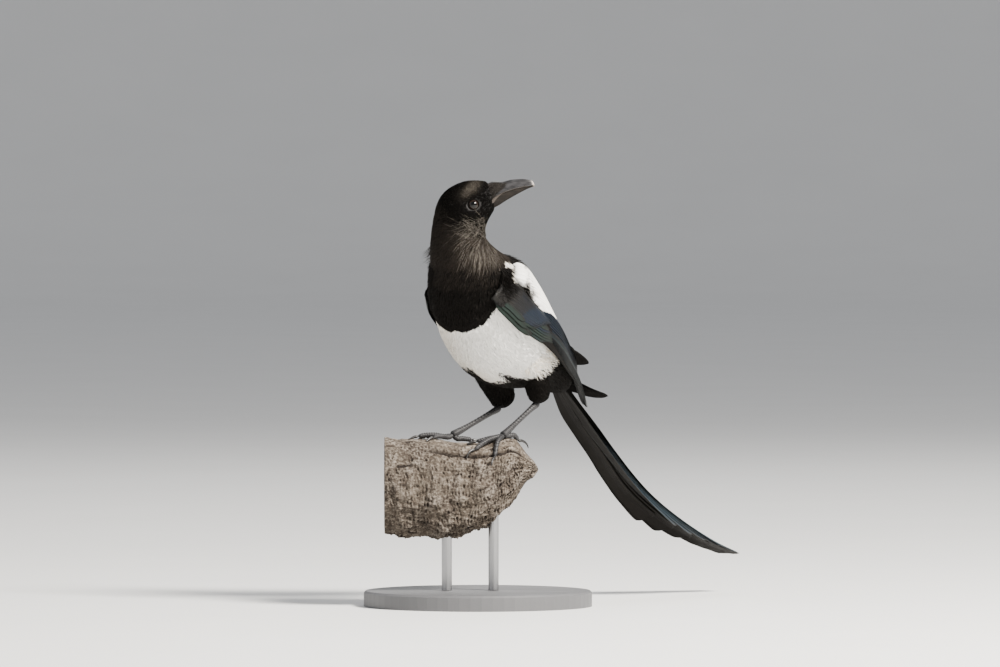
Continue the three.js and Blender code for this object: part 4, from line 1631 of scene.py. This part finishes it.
@dataclass
class VaneRow:
    """Feathers side by side on a plate. Each number of a feather runs evenly from first to last."""

    count: int
    root: tuple[float, float]  # share along the plate at the root
    tip: tuple[float, float]  # share along the plate at the tip
    root_across: tuple[float, float]
    tip_across: tuple[float, float]
    half: tuple[float, float]  # half width in millimetres
    lift: tuple[float, float]  # millimetres above the plate
    tilt: float = 0.5  # millimetres that the edge at +1 stands above the middle
    gloss: tuple[float, float] = (0.3, 1.0)  # at the inner and the outer web
    hue: tuple[float, float] = (0.2, 0.8)
    tone: tuple[float, float] = (0.0, 0.5)
    round_from: float = 0.72
    rows: int = 18
    camber: float = 0.8
    jitter: float = 0.0
    widest: float = 9.0  # the most that the half width may be, as a share of the plate's own


ACROSS = np.array([-1, -0.72, -0.42, -0.18, -0.05, 0, 0.05, 0.18, 0.42, 0.72, 1.0])


@dataclass
class VaneMaker:
    """Lays rows of vanes over a plate. A vane is a thin closed sheet with a shaft."""

    plate: Loft
    fold: float = 0.0
    thickness: float = 0.3
    mirror: bool = False
    seed: int = SEED

    def lay(self, maker: MeshMaker, row: VaneRow, cells: Array) -> None:
        """Add a row's feathers to a piece.

        A feather's half width grows over its first quarter and rounds off over its last part. The
        vane is lifted by the camber in its middle, and its root is sunk under its neighbours.

        Args:
            maker: The piece being gathered.
            row: The feathers.
            cells: Their rectangles on the bake map.
        """
        rng = np.random.default_rng(self.seed)
        n = row.count
        q = np.linspace(0, 1, n) if n > 1 else np.array([0.5])

        def spread(pair: tuple[float, float]) -> Array:
            """A number for each feather, from the pair's first to its last."""
            return pair[0] + (pair[1] - pair[0]) * q

        noise = row.jitter * rng.normal(size=(4, n))
        t = np.linspace(0, 1, row.rows)
        t = 1 - (1 - t) ** 1.25
        root, tip = spread(row.root) + 0.02 * noise[0], spread(row.tip) + 0.02 * noise[1]
        share = root[:, None] + (tip - root)[:, None] * t
        start, end = spread(row.root_across) + 0.1 * noise[2], spread(row.tip_across) + 0.1 * noise[3]
        middle = start[:, None] + (end - start)[:, None] * t**1.2
        grown = 0.3 + 0.7 * smooth_step(t, 0.0, 0.3)
        rounding = np.maximum(t - row.round_from, 0) / (1 - row.round_from)
        rounded = np.sqrt(np.maximum(1 - rounding**2.2, 0.0016))
        width = spread(row.half)[:, None] * (grown * rounded)[None]
        plate_half = self.plate.row_at(share)[..., 6]
        width = np.minimum(width, plate_half * row.widest * rounded[None])
        u = np.concatenate([ACROSS, ACROSS[-2:0:-1]])
        under = np.concatenate([np.zeros(len(ACROSS)), np.ones(len(ACROSS) - 2)])
        u_grid, s_grid = u[None, None], share[..., None]
        fray = 1 + 0.012 * waves(np.stack([share * 90, middle * 9, width], -1), 7.0, self.seed + 5)[..., None]
        spot = middle[..., None] + u_grid * fray * (width / plate_half)[..., None]
        raised = (
            spread(row.lift)[:, None, None]
            - 1.4 * (1 - smooth_step(t, 0, 0.25))[None, :, None]
            + row.tilt * u_grid
            + row.camber * (1 - u_grid**2) * (width / np.maximum(width.max(), 1e-6))[..., None]
            - row.camber
            + 0.16 * np.exp(-((u_grid / 0.07) ** 2))
        )
        s_full = np.broadcast_to(s_grid, spot.shape)
        normal = self.plate.plate_normal(s_full, spot, self.fold)
        points = self.plate.plate(s_full, spot, np.zeros_like(spot), self.fold)
        points = points + normal * (raised - under * self.thickness)[..., None]
        if self.mirror:
            points = points * np.array([-1, 1, 1])
        gloss = row.gloss[0] + (row.gloss[1] - row.gloss[0]) * smooth_step(u_grid, -0.2, 0.9)
        hue = spread(row.hue)[:, None, None] + 0.12 * rng.normal(size=(n, 1, 1))
        tone = spread(row.tone)[:, None, None] + 0.15 * rng.normal(size=(n, 1, 1))
        skins = under.astype(int)
        skins[len(ACROSS) - 1] = 1
        fade = smooth_step(1 - t, 0.0, 0.3)[None, :, None]
        maker.add_tubes(
            points, cells, (u + 1) / 2, None, skins, gloss=gloss * (0.4 + 0.6 * fade), hue=hue, tone=tone
        )


@dataclass
class Wing:
    """One folded wing: its bed, coverts, scapulars, secondaries and primaries."""

    side: Side
    scapular_rows: tuple[tuple[float, ...], ...] = (
        (33.8, 4, 259.5, -4, 30, 66, 5, 1.8, 4, 0.5),
        (34.3, 15, 253.5, 2, 34, 60, 8.5, 2.2, 5, 1.2),
        (31.5, 29, 244, 2, 42, 54, 9.5, 2.2, 5, 1.6),
        (32.5, 39.5, 231.5, 4, 44, 52, 7, 2, 4, 0.8),
        (29.5, 54, 219, 10, 40, 48, 2.6, 1.2, 2, 0.2),
    )
    covert_rows: tuple[tuple[float, ...], ...] = (
        (35, -17, 244, -16, 38, 86, 8, 2, 8, 0.5),
        (41, -4, 237.5, -6, 36, 83, 14, 2.4, 9, 1.6),
        (42.7, 12, 226, 2, 33, 79, 14.5, 2.6, 9, 2.4),
        (42.3, 29, 215.5, 6, 32, 75, 13, 2.6, 8, 2.2),
        (40, 43, 207.5, 10, 31, 72, 8, 2.4, 6, 0.8),
    )
    secondary_rows: tuple[tuple[float, ...], ...] = (
        (34, 21, 235.5, 4, 38, 62, 9, 1, 6, 1.2),
        (34.8, 36.5, 225, 8, 37, 60, 13.5, 1.8, 7, 2.6),
        (30.5, 56.6, 211, 13, 37, 54, 16.5, 2, 7, 3.8),
        (19.8, 79.3, 193.7, 17, 39, 49, 14, 2, 5, 3.4),
        (8, 103, 177, 18, 40, 46, 6, 1.3, 1.6, 0.8),
    )
    primary_rows: tuple[tuple[float, ...], ...] = (
        (43.5, 11, 219.5, 4, 31, 80, 8, 1.4, 5, 0.5),
        (40.8, 44, 202.5, 9, 32, 76, 9.5, 1.5, 5, 0.8),
        (30.8, 70, 186, 16, 33, 68, 9, 1.5, 4, 0.8),
        (18.8, 93, 171.5, 21, 31, 60, 7.5, 1.3, 2, 0.6),
        (5, 114, 159.5, 23, 29, 54, 4.8, 1, 1.1, 0.3),
        (-4, 129, 151, 23, 32, 50, 1.8, 0.6, 0.6, 0),
    )

    def plate(self, rows: tuple, caps: tuple[float, float], far: tuple[float, float, float]) -> Loft:
        """A plate on the left, which the far wing has a little more open towards its tip."""
        table = np.array(rows, float)
        if self.side is Side.RIGHT:
            open_by = (np.linspace(0, 1, len(table)) ** 2)[:, None]
            table[:, :3] += open_by * np.array([-far[0], far[1], far[2]])
        return Loft(table, caps)

    def build(self, finishes: dict[str, bpy.types.Material]) -> list[bpy.types.Object]:
        """Make the wing's pieces.

        Args:
            finishes: The wings' materials by name.

        Returns:
            The pieces.
        """
        scapular = self.plate(self.scapular_rows, (0.25, 0.2), (0, 3, 0))
        covert = self.plate(self.covert_rows, (0.3, 0.25), (0, 3, 0))
        secondary = self.plate(self.secondary_rows, (0.2, 0.12), (8, 23, 7))
        primary = self.plate(self.primary_rows, (0.15, 0.06), (1, 14, 8))
        vane, back, white = finishes["vane"], finishes["underside"], finishes["white"]
        made = [
            self._bed([covert, secondary, primary], back),
            self._piece("primary_vanes", primary, self.primaries(), [vane, back], 31),
            self._piece("secondary_vanes", secondary, self.secondaries(), [vane, back], 32),
            self._piece("covert_vanes", covert, self.coverts(), [vane, back], 33),
            self._piece("scapular_vanes", scapular, self.scapulars(), [white, white], 34),
        ]
        word = self.side.word
        nodes = ("primaries", "secondaries", "wing_coverts", "scapulars")
        for piece, node in zip(made[1:], nodes, strict=True):
            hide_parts(f"{node}_{word}")
        return made

    def _piece(
        self, name: str, plate: Loft, rows: list[VaneRow], skins: list, seed: int
    ) -> bpy.types.Object:
        """Lay rows of vanes over one plate as one piece."""
        maker = MeshMaker(f"{name}_{self.side.word}")
        cells = grid_cells(sum(row.count for row in rows))
        for index, row in enumerate(rows):
            done = sum(other.count for other in rows[:index])
            layer = VaneMaker(plate, mirror=self.side is Side.RIGHT, seed=seed + 10 * index)
            layer.lay(maker, row, cells[done : done + row.count])
        return maker.make(skins)

    def _bed(self, plates: list[Loft], skin: bpy.types.Material) -> bpy.types.Object:
        """The dark bed that lies under the vanes, a little inside the plates."""
        maker = MeshMaker(f"wing_bed_{self.side.word}")
        for plate, cell in zip(plates, grid_cells(len(plates)), strict=True):
            rings = form_rings(plate, 30, 24, -0.9)
            if self.side is Side.RIGHT:
                rings = rings * np.array([-1, 1, 1])
            zero = np.zeros((1, 1, 1))
            maker.add_tubes(rings, cell[None], gloss=zero, hue=zero, tone=zero)
        return maker.make([skin])

    @staticmethod
    def primaries() -> list[VaneRow]:
        """Ten long quills, the outermost lowest, whose tips end in steps."""
        return [
            VaneRow(10, (0.02, 0.12), (0.74, 1.0), (-0.35, 0.35), (-0.5, 0.1), (5.6, 4.4), (0.9, -0.6), 0.8,
                    gloss=(0.0, 0.45), hue=(0.5, 0.3), tone=(0.1, 0.5), round_from=0.86, rows=30)
        ]

    @staticmethod
    def secondaries() -> list[VaneRow]:
        """Nine quills, the innermost on top."""
        return [
            VaneRow(9, (0.02, 0.1), (0.98, 0.9), (0.75, -0.6), (0.25, -0.3), (6.6, 9.0), (-0.6, 2.4), 1.1,
                    gloss=(0.05, 1.0), hue=(0.3, 0.75), tone=(0.0, 0.3), round_from=0.8, rows=28)
        ]

    @staticmethod
    def coverts() -> list[VaneRow]:
        """Primary coverts and the alula below, then greater, median and lesser coverts."""
        rows = [
            VaneRow(6, (0.12, 0.26), (0.99, 0.8), (0.8, 0.1), (0.68, 0.0), (4.2, 5.2), (-0.6, 0.3), 0.9,
                    gloss=(0.25, 1.0), hue=(0.05, 0.3), tone=(0.1, 0.3), round_from=0.7, rows=20),
            VaneRow(3, (0.03, 0.08), (0.62, 0.46), (0.85, 0.45), (0.92, 0.6), (3.4, 4.0), (0.5, 0.9), 0.8,
                    gloss=(0.3, 1.0), hue=(0.0, 0.2), tone=(0.1, 0.4), round_from=0.7, rows=18),
            VaneRow(9, (0.34, 0.2), (0.86, 0.62), (-0.6, 0.7), (-0.66, 0.5), (4.6, 3.9), (0.4, 0.5), 0.9,
                    gloss=(0.1, 0.8), hue=(0.75, 0.35), tone=(0.1, 0.3), round_from=0.6, rows=16),
            VaneRow(9, (0.2, 0.1), (0.6, 0.42), (-0.62, 0.6), (-0.7, 0.5), (4.2, 3.6), (0.7, 0.8), 0.6,
                    gloss=(0.05, 0.3), hue=(0.7, 0.4), tone=(0.1, 0.5), round_from=0.5, rows=14, jitter=0.3),
        ]
        for step in range(4):
            start = 0.14 - 0.05 * step
            rows.append(
                VaneRow(9, (start, start - 0.04), (start + 0.25, start + 0.16), (-0.7, 0.7), (-0.75, 0.65),
                        (3.2, 2.8), (0.9 + 0.15 * step, 0.9 + 0.1 * step), 0.4, gloss=(0.0, 0.12),
                        hue=(0.5, 0.4), tone=(0.1, 0.8), round_from=0.45, rows=12, jitter=0.5)
            )
        return rows

    @staticmethod
    def scapulars() -> list[VaneRow]:
        """White scapulars in rows from the tip to the shoulder."""
        rows = []
        for step in range(8):
            start = 0.62 - 0.09 * step
            rows.append(
                VaneRow(6, (start, start), (start + 0.4, start + 0.4), (-0.85, 0.95), (-0.5, 0.5), (4.2, 4.6),
                        (1.9 + 0.2 * step, 2.1 + 0.2 * step), 0.1, gloss=(0, 0), tone=(0.3, 0.9),
                        round_from=0.45, rows=14, jitter=0.3)
            )
        return rows


@dataclass
class Tail:
    """Twelve graduated tail feathers, the middle pair longest and on top."""

    rows: tuple[tuple[float, ...], ...] = (
        (0, 80, 184, 0, 46, 4, 11, 3, 3, 1),
        (-3.5, 111, 149, 0, 46, 5, 24.5, 2.5, 2.5, 3),
        (0, 143, 116, 0, 42, 6, 24, 2, 2, 4.5),
        (-1, 177, 87, 0, 36, 6, 27, 1.8, 1.8, 5),
        (0, 214, 63.5, 0, 29, 4, 25, 1.6, 1.6, 5),
        (2, 256, 42.5, 0, 23, 1, 19, 1.3, 1.3, 3),
        (4, 294, 28.5, 0, 19, -3, 12, 1, 1, 1.2),
    )
    tips: tuple[float, ...] = (0.995, 0.96, 0.885, 0.81, 0.745, 0.67)
    half: tuple[float, ...] = (12, 11.5, 11, 10.5, 10, 9)
    widest: tuple[float, ...] = (0.66, 0.5, 0.46, 0.44, 0.42, 0.4)  # as shares of the plate's half
    fold: float = 0.22

    def build(self, finishes: dict[str, bpy.types.Material]) -> bpy.types.Object:
        """Make the tail as one piece that stands for its plate."""
        plate = Loft(np.array(self.rows, float), (0.05, 0.03))
        maker = MeshMaker("tail_vanes")
        cells = grid_cells(12)
        for pair, (tip, half) in enumerate(zip(self.tips, self.half, strict=True)):
            for index, way in enumerate((-1, 1)):
                across = way * (0.1 + 0.1 * pair)
                row = VaneRow(
                    1, (0.015, 0.015), (tip, tip), (way * 0.2, way * 0.2), (across, across), (half, half),
                    (1.0 - 0.75 * pair, 1.0 - 0.75 * pair), 0.0, gloss=(0.75, 0.9), hue=(0.0, 0.8),
                    tone=(0.3, 0.3), round_from=0.955, rows=48, camber=0.6, widest=self.widest[pair],
                )
                layer = VaneMaker(plate, self.fold, seed=70 + 2 * pair + index)
                layer.lay(maker, row, cells[2 * pair + index : 2 * pair + index + 1])
        piece = maker.make([finishes["tail"], finishes["tail_underside"]])
        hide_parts("tail")
        return piece


@dataclass
class Limb:
    """The dead limb along its own axis: along, top, bottom and half depth at each row."""

    rows: tuple[tuple[float, ...], ...] = (
        (-82, 131, 58, 31),
        (-58, 128.5, 56, 32),
        (-36, 128.5, 54, 33),
        (-16, 126, 54.5, 32),
        (2, 125.5, 60, 31),
        (16, 128, 70, 28),
        (28, 128.5, 82, 23),
        (37, 118, 96, 17),
        (46.5, 108, 103, 7),
    )
    sawn_at: float = -72
    turn: float = 43
    square: float = 2.7
    steps: int = 330
    around: int = 240

    def _row_at(self, share: Array) -> Array:
        """The smooth row at each share of the length."""
        table = np.array(self.rows, float)
        wide = np.zeros((len(table), 10))
        wide[:, :4] = table
        return Loft(wide).row_at(share)[..., :4]

    def height(self, x: Array, y: Array) -> Array:
        """The height of the limb's top under a place."""
        turn = math.radians(self.turn)
        along = x * math.cos(turn) + y * math.sin(turn)
        aside = x * math.sin(turn) - y * math.cos(turn)
        table = np.array(self.rows, float)
        top, bottom, half = (np.interp(along, table[:, 0], table[:, k]) for k in (1, 2, 3))
        out = np.minimum(np.abs(aside) / half, 0.999)
        reach = (top - bottom) / 2
        return bottom + reach + reach * (1 - out**self.square) ** (1 / self.square)

    def build(self) -> bpy.types.Object:
        """Make the limb: a squared section swollen by ridges, knobs and grain, and opened by a crack.

        Returns:
            The piece.
        """
        turn = math.radians(self.turn)
        start = self._sawn_share()
        share = start + (1 - start) * np.linspace(0, 1, self.steps)
        angle = np.arange(self.around) * TURN / self.around
        share, angle = np.meshgrid(share, angle, indexing="ij")
        row = self._row_at(share)
        wide = np.sqrt(np.maximum(1 - (1 - np.minimum((1 - share) / 0.06, 1)) ** 2, 1e-6))
        across = np.sign(np.cos(angle)) * np.abs(np.cos(angle)) ** (2 / self.square)
        rise = np.sign(np.sin(angle)) * np.abs(np.sin(angle)) ** (2 / self.square)
        ridges = np.sin(7 * angle + 5 * share) + 0.7 * np.sin(11 * angle - 9 * share)
        knobs = np.sin(19 * share + 3 * angle) * np.sin(13 * share - 2 * angle)
        worn = 1 - np.maximum(np.sin(angle), 0)
        round_place = np.stack([row[..., 0], row[..., 3] * across, 36 * rise], -1)
        grain_place = round_place * np.array([0.22, 1.0, 1.0])
        grain = waves(grain_place, 5.5, 41, 9)
        lumps = waves(round_place, 17.0, 42, 9)
        pits = waves(round_place, 6.0, 43, 9)
        nubs = np.abs(waves(round_place, 4.4, 44, 11))
        crack_line = 0.62 + 0.35 * np.sin(share * 5 + 0.5) * 0.3
        crack = np.exp(-(((np.sin(angle) - crack_line) / 0.05) ** 2)) * (np.cos(angle) > 0)
        crack = crack * smooth_step(share, 0.12, 0.3) * (1 - smooth_step(share, 0.8, 0.95))
        seam = np.maximum(grain - 0.9, 0)
        swell = 1.7 * worn * (0.4 * ridges + 0.8 * knobs) + (0.25 + 0.75 * worn) * (0.9 * lumps + 0.55 * pits)
        swell = swell + (0.2 + 0.3 * worn) * grain + (0.25 + 0.9 * worn) * (0.6 - nubs)
        swell = swell - 2.8 * crack - 1.1 * seam
        factor = 1 + swell / row[..., 3]
        aside = row[..., 3] * across * wide * factor
        height = (row[..., 1] + row[..., 2]) / 2 + (row[..., 1] - row[..., 2]) / 2 * rise * wide * factor
        points = np.stack(
            [
                row[..., 0] * math.cos(turn) + aside * math.sin(turn),
                row[..., 0] * math.sin(turn) - aside * math.cos(turn),
                height,
            ],
            -1,
        )
        points, ring = self._add_sawn_face(points)
        rows_added = ring.shape[0]
        dark = np.clip(crack + 1.4 * seam + 0.6 * smooth_step(nubs, 0.8, 1.6), 0, 1)
        pale = smooth_step(0.5 * lumps - nubs, -0.4, 0.4) * (1 - 0.5 * worn)

        def padded(values: Array) -> Array:
            """The numbers of the limb's side, with none on the sawn face."""
            return np.concatenate([np.zeros((rows_added, self.around)), values])[None]

        maker = MeshMaker("limb")
        flat = np.zeros((len(points), self.around))
        flat[:rows_added] = 1
        rings = np.zeros((len(points), self.around))
        rings[:rows_added] = ring
        maker.add_tubes(
            points[None],
            np.array([[0.01, 0.01, 0.99, 0.99]]),
            crack=padded(dark),
            ridge=padded(pale),
            cut=flat[None],
            rings=rings[None],
        )
        piece = maker.make([BarkFinish().build()])
        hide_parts("perch")
        return piece

    def _sawn_share(self) -> float:
        """The share of the length at which the saw cut the limb."""
        share = np.linspace(0, 0.3, 3001)
        along = self._row_at(share)[:, 0]
        return float(share[np.argmin(np.abs(along - self.sawn_at))])

    def _add_sawn_face(self, points: Array) -> tuple[Array, Array]:
        """Put rings in front of the sawn end that close it flat, with year rings as a number."""
        centre = points[0].mean(0)
        scale = np.linspace(0.02, 0.985, 40)[:, None, None]
        disc = centre + (points[0][None] - centre) * scale
        rings = 0.5 + 0.5 * np.sin(scale[..., 0] * 62 + 0.8 * np.sin(np.arange(self.around) * 0.08)[None])
        return np.concatenate([disc, points]), rings


# The places and radii down each shank, from the feathers to the foot.
RIGHT_SHANK = (
    (-15.5, 42, 151.5, 3.2),
    (-16, 30, 147, 2.2),
    (-17, 10, 139, 2.1),
    (-18, -5, 133.2, 2.8),
    (-18, -10, 131.6, 3),
)
LEFT_SHANK = (
    (14.5, 53, 156, 3.2),
    (15, 43, 150.5, 2.2),
    (16.5, 25, 140.5, 2.1),
    (18, 12, 133.4, 2.8),
    (18, 8, 131.6, 3),
)


@dataclass
class Leg:
    """One bare shank with its toes and claws."""

    side: Side
    limb: Limb
    shank: tuple[tuple[float, ...], ...]
    foot: tuple[float, float, float]
    turn: float
    claw_length: float = 10
    hind_claw_length: float = 13
    claw_radius: float = 1.35
    claw_drop: float = 6.5
    toes: tuple[tuple, ...] = (
        ("middle", 0, 28, 2.1, 3),
        ("inner", -27, 21, 1.9, 2.4),
        ("outer", 34, 22, 1.9, 2.4),
        ("hind", 180, 15, 2.2, 1.2),
    )

    def build(self, scute: bpy.types.Material, horn: bpy.types.Material) -> list[bpy.types.Object]:
        """Make the shank, toes and claws.

        Args:
            scute: The plates' finish.
            horn: The claws' finish.

        Returns:
            The pieces.
        """
        word = self.side.word
        made = [self._scaly(f"shank_{word}", rope(list(self.shank)), 26, scute, f"tarsus_{word}")]
        for name, outward, length, radius, arch in self.toes:
            angle = math.radians(self.turn + outward) * self.side.value
            points = self._toe_points(angle, length, radius, arch)
            scutes = round(length / 1.9)
            made.append(self._scaly(f"{name}_toe_{word}", rope(points), scutes, scute, f"toe_{word}_{name}"))
            long = self.hind_claw_length if name == "hind" else self.claw_length
            claw = rope(self._claw_points(angle, long, points[-1]), (0.15, 0.1))
            maker = MeshMaker(f"{name}_claw_{word}")
            maker.add_tubes(form_rings(claw, 24, 16), WHOLE_MAP)
            piece = maker.make([horn])
            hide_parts(f"claw_{word}_{name}")
            made.append(piece)
        return made

    def _toe_points(self, angle: float, length: float, radius: float, arch: float) -> list:
        """Places along a toe, which lies on the limb and arches a little at each joint."""
        points = []
        for share in (0, 0.25, 0.5, 0.75, 1):
            x = self.foot[0] + math.sin(angle) * length * share
            y = self.foot[1] - math.cos(angle) * length * share
            lift = radius + 0.4 + arch * math.sin(math.pi * share) * 0.4
            z = min(float(self.limb.height(x, y)) + lift, self.foot[2] + 3)
            points.append((x, y, self.foot[2] if share == 0 else z, radius * (1 - 0.18 * share)))
        return points

    def _claw_points(self, angle: float, length: float, start: tuple) -> list:
        """Places along a claw, which curves down from the toe's end."""
        points = []
        for share in (0, 0.35, 0.7, 1):
            reach = length * 0.8 * math.sin(share * 1.4)
            x = start[0] + math.sin(angle) * reach
            y = start[1] - math.cos(angle) * reach
            z = max(start[2] - self.claw_drop * share**2, float(self.limb.height(x, y)) + 0.5)
            points.append((x, y, z, self.claw_radius * (1 - 0.75 * share)))
        return points

    def _scaly(
        self, name: str, form: Loft, scutes: int, finish: bpy.types.Material, node: str
    ) -> bpy.types.Object:
        """A form with overlapping plates: each rises along its length and drops at its end."""
        rows, ring = scutes * 6, 20
        share, angle = share_grid(rows, ring, 0.002)
        front = smooth_step(np.sin(angle), -0.5, 0.1)
        phase = (share * scutes + 0.15 * np.cos(angle * 2)) % 1.0
        groove = np.exp(-(((phase - 0.5) / 0.16) ** 2))
        swell = (0.1 - 0.28 * groove) * (0.35 + 0.65 * front) * form.opening(share)
        maker = MeshMaker(name)
        rings = form.surface(share, angle, swell)[None]
        maker.add_tubes(rings, WHOLE_MAP, groove=(groove * (0.3 + 0.7 * front))[None])
        piece = maker.make([finish])
        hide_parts(node)
        return piece


@dataclass
class Stand:
    """The plain stand, whose solids keep their shape and get their finishes."""

    rods: tuple[str, ...] = ("stand_rod_front", "stand_rod_back")
    base: str = "stand_base"

    def dress(self) -> None:
        """Give the base and the rods their materials."""
        steel = StandFinish("rod steel", (0.42, 0.42, 0.43), 1.0, 0.28).build()
        plate = StandFinish("base enamel", (0.11, 0.11, 0.115), 0.0, 0.42).build()
        for name, material in [*((rod, steel) for rod in self.rods), (self.base, plate)]:
            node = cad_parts[name]
            for slot in node.material_slots:
                slot.material = material
            log.info("%s: dressed", name)


@dataclass
class Studio:
    """The pale floor, the soft lights and the camera of the photograph."""

    azimuth: float = 43.0
    elevation: float = 1.5
    distance: float = 8000.0
    scale: float = 0.77  # millimetres at the target for each pixel
    target: tuple[float, float, float] = (12.4, 11.6, 210.0)
    sensor: float = 36.0

    def direction(self, azimuth: float, elevation: float) -> Vector:
        """The unit vector from the object towards an azimuth and elevation."""
        a, e = math.radians(azimuth), math.radians(elevation)
        return Vector((math.sin(a) * math.cos(e), -math.cos(a) * math.cos(e), math.sin(e)))

    def build(self) -> None:
        """Make the camera, the lights, the world and the floor."""
        self._camera()
        self._light("key", 92, 42, 2.6, 0.7, 320, (1.0, 0.955, 0.88))
        self._light("fill", -20, 25, 3.0, 2.2, 14, (0.95, 0.97, 1.0))
        self._light("rim", 215, 40, 3.0, 1.6, 30, (1.0, 0.98, 0.95))
        self._world()
        self._floor()

    def _camera(self) -> None:
        """Place the camera so that the target is at the middle of the picture."""
        data = bpy.data.cameras.new("camera")
        data.sensor_width = self.sensor
        data.lens = self.sensor * self.distance / (self.scale * PHOTO_WIDTH)
        data.clip_end = 200
        camera = bpy.data.objects.new("camera", data)
        bpy.context.scene.collection.objects.link(camera)
        target = Vector(self.target) * MM
        toward = self.direction(self.azimuth, self.elevation)
        camera.location = target + toward * self.distance * MM
        camera.rotation_euler = toward.to_track_quat("Z", "Y").to_euler()
        bpy.context.scene.camera = camera

    def _light(
        self,
        name: str,
        azimuth: float,
        elevation: float,
        away: float,
        size: float,
        power: float,
        color: Color,
    ) -> None:
        """Place a square soft light that faces the bird."""
        data = bpy.data.lights.new(name, "AREA")
        data.size = size
        data.energy = power
        data.color = color
        light = bpy.data.objects.new(name, data)
        bpy.context.scene.collection.objects.link(light)
        toward = self.direction(azimuth, elevation)
        light.location = Vector(self.target) * MM + toward * away
        light.rotation_euler = toward.to_track_quat("Z", "Y").to_euler()

    def _world(self) -> None:
        """An even pale sky."""
        world = bpy.data.worlds.new("sky")
        world.use_nodes = True
        world.node_tree.nodes["Background"].inputs[0].default_value = (0.93, 0.95, 1.0, 1)
        world.node_tree.nodes["Background"].inputs[1].default_value = 0.52
        bpy.context.scene.world = world

    def _floor(self) -> None:
        """A large level floor whose rim curves up: a profile of distance and height turned about Z."""
        bend = np.linspace(0, math.pi / 2, 16)
        away = np.concatenate([[0.001], np.linspace(1.0, 10.0, 6), 10.0 + 3.5 * np.sin(bend)])
        high = np.concatenate([np.zeros(7), 3.5 * (1 - np.cos(bend))])
        around = 96
        turn = np.arange(around) * TURN / around
        points = np.stack(
            [np.outer(away, np.cos(turn)), np.outer(away, np.sin(turn)), np.outer(high, np.ones(around))], -1
        )
        r, c = (g.ravel() for g in np.meshgrid(np.arange(len(away) - 1), np.arange(around), indexing="ij"))
        beside = (c + 1) % around
        near, far = r * around, (r + 1) * around
        faces = np.stack([near + c, far + c, far + beside, near + beside], -1)
        mesh = bpy.data.meshes.new("floor")
        mesh.from_pydata(points.reshape(-1, 3).tolist(), [], faces.tolist())
        mesh.polygons.foreach_set("use_smooth", np.ones(len(faces), bool))
        material, graph, shader = new_material("pale floor")
        paint(graph, shader, graph.mix(graph.noise(6, 3), (0.72, 0.72, 0.71), (0.76, 0.76, 0.75)), 0.85)
        mesh.materials.append(material)
        floor = bpy.data.objects.new("floor", mesh)
        bpy.context.scene.collection.objects.link(floor)


def vane_finishes() -> dict[str, bpy.types.Material]:
    """The materials of the wings and the tail."""
    green, blue, violet = (0.02, 0.034, 0.027), (0.014, 0.024, 0.04), (0.02, 0.023, 0.042)
    brown = (0.011, 0.0095, 0.008)
    return {
        "vane": VaneFinish(
            "glossy wing vanes", (0.0028, 0.0027, 0.0026), (0.013, 0.011, 0.0092), (green, blue, violet),
            specular=0.16,
        ).build(),
        "underside": VaneFinish(
            "dull vane undersides", (0.003, 0.0026, 0.0024), (0.009, 0.0076, 0.0065), (brown, brown, brown),
            metal=0.0, roughness_shift=0.2, specular=0.08,
        ).build(),
        "white": VaneFinish(
            "white scapular vanes", (0.72, 0.7, 0.66), (0.93, 0.92, 0.9), (green, blue, violet),
            # painted shade at the edges, weaker on the white scapulars
            shaft=(0.7, 0.68, 0.62), metal=0.0, roughness_shift=0.25, edge=0.2,
        ).build(),
        "tail": VaneFinish(
            "iridescent tail vanes", (0.005, 0.005, 0.005), (0.018, 0.016, 0.015),
            ((0.016, 0.085, 0.066), (0.018, 0.055, 0.085), (0.06, 0.032, 0.075)),
            metal=0.45, barbs=900, slant=0.12, specular=0.6,
        ).build(),
        "tail_underside": VaneFinish(
            "tail undersides", (0.0025, 0.0021, 0.0018), (0.007, 0.0057, 0.0046), (brown, brown, brown),
            metal=0.0, barbs=900, slant=0.12, roughness_shift=0.15, specular=0.06,
        ).build(),
    }


def main() -> None:
    """Build the studio, the bird, its limb and the stand, in that order."""
    logging.basicConfig(level=logging.INFO, format="%(message)s")
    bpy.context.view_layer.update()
    Studio().build()
    SkinSurface().build()
    Coat().build()
    EyePair().build()
    Bill().build()
    finishes = vane_finishes()
    for side in Side:
        Wing(side).build(finishes)
    Tail().build(finishes)
    limb = Limb()
    limb.build()
    scute = ScuteFinish("leg scutes", (0.042, 0.041, 0.043), (0.006, 0.006, 0.0064)).build()
    horn = HornFinish("claw horn", (0.012, 0.011, 0.011), (0.05, 0.045, 0.04), 0.3, 0.9).build()
    Leg(Side.RIGHT, limb, RIGHT_SHANK, (-18, -9, 131.2), 30).build(scute, horn)
    Leg(Side.LEFT, limb, LEFT_SHANK, (18, 9, 131.2), -8).build(scute, horn)
    Stand().dress()


if __name__ == "__main__":
    main()
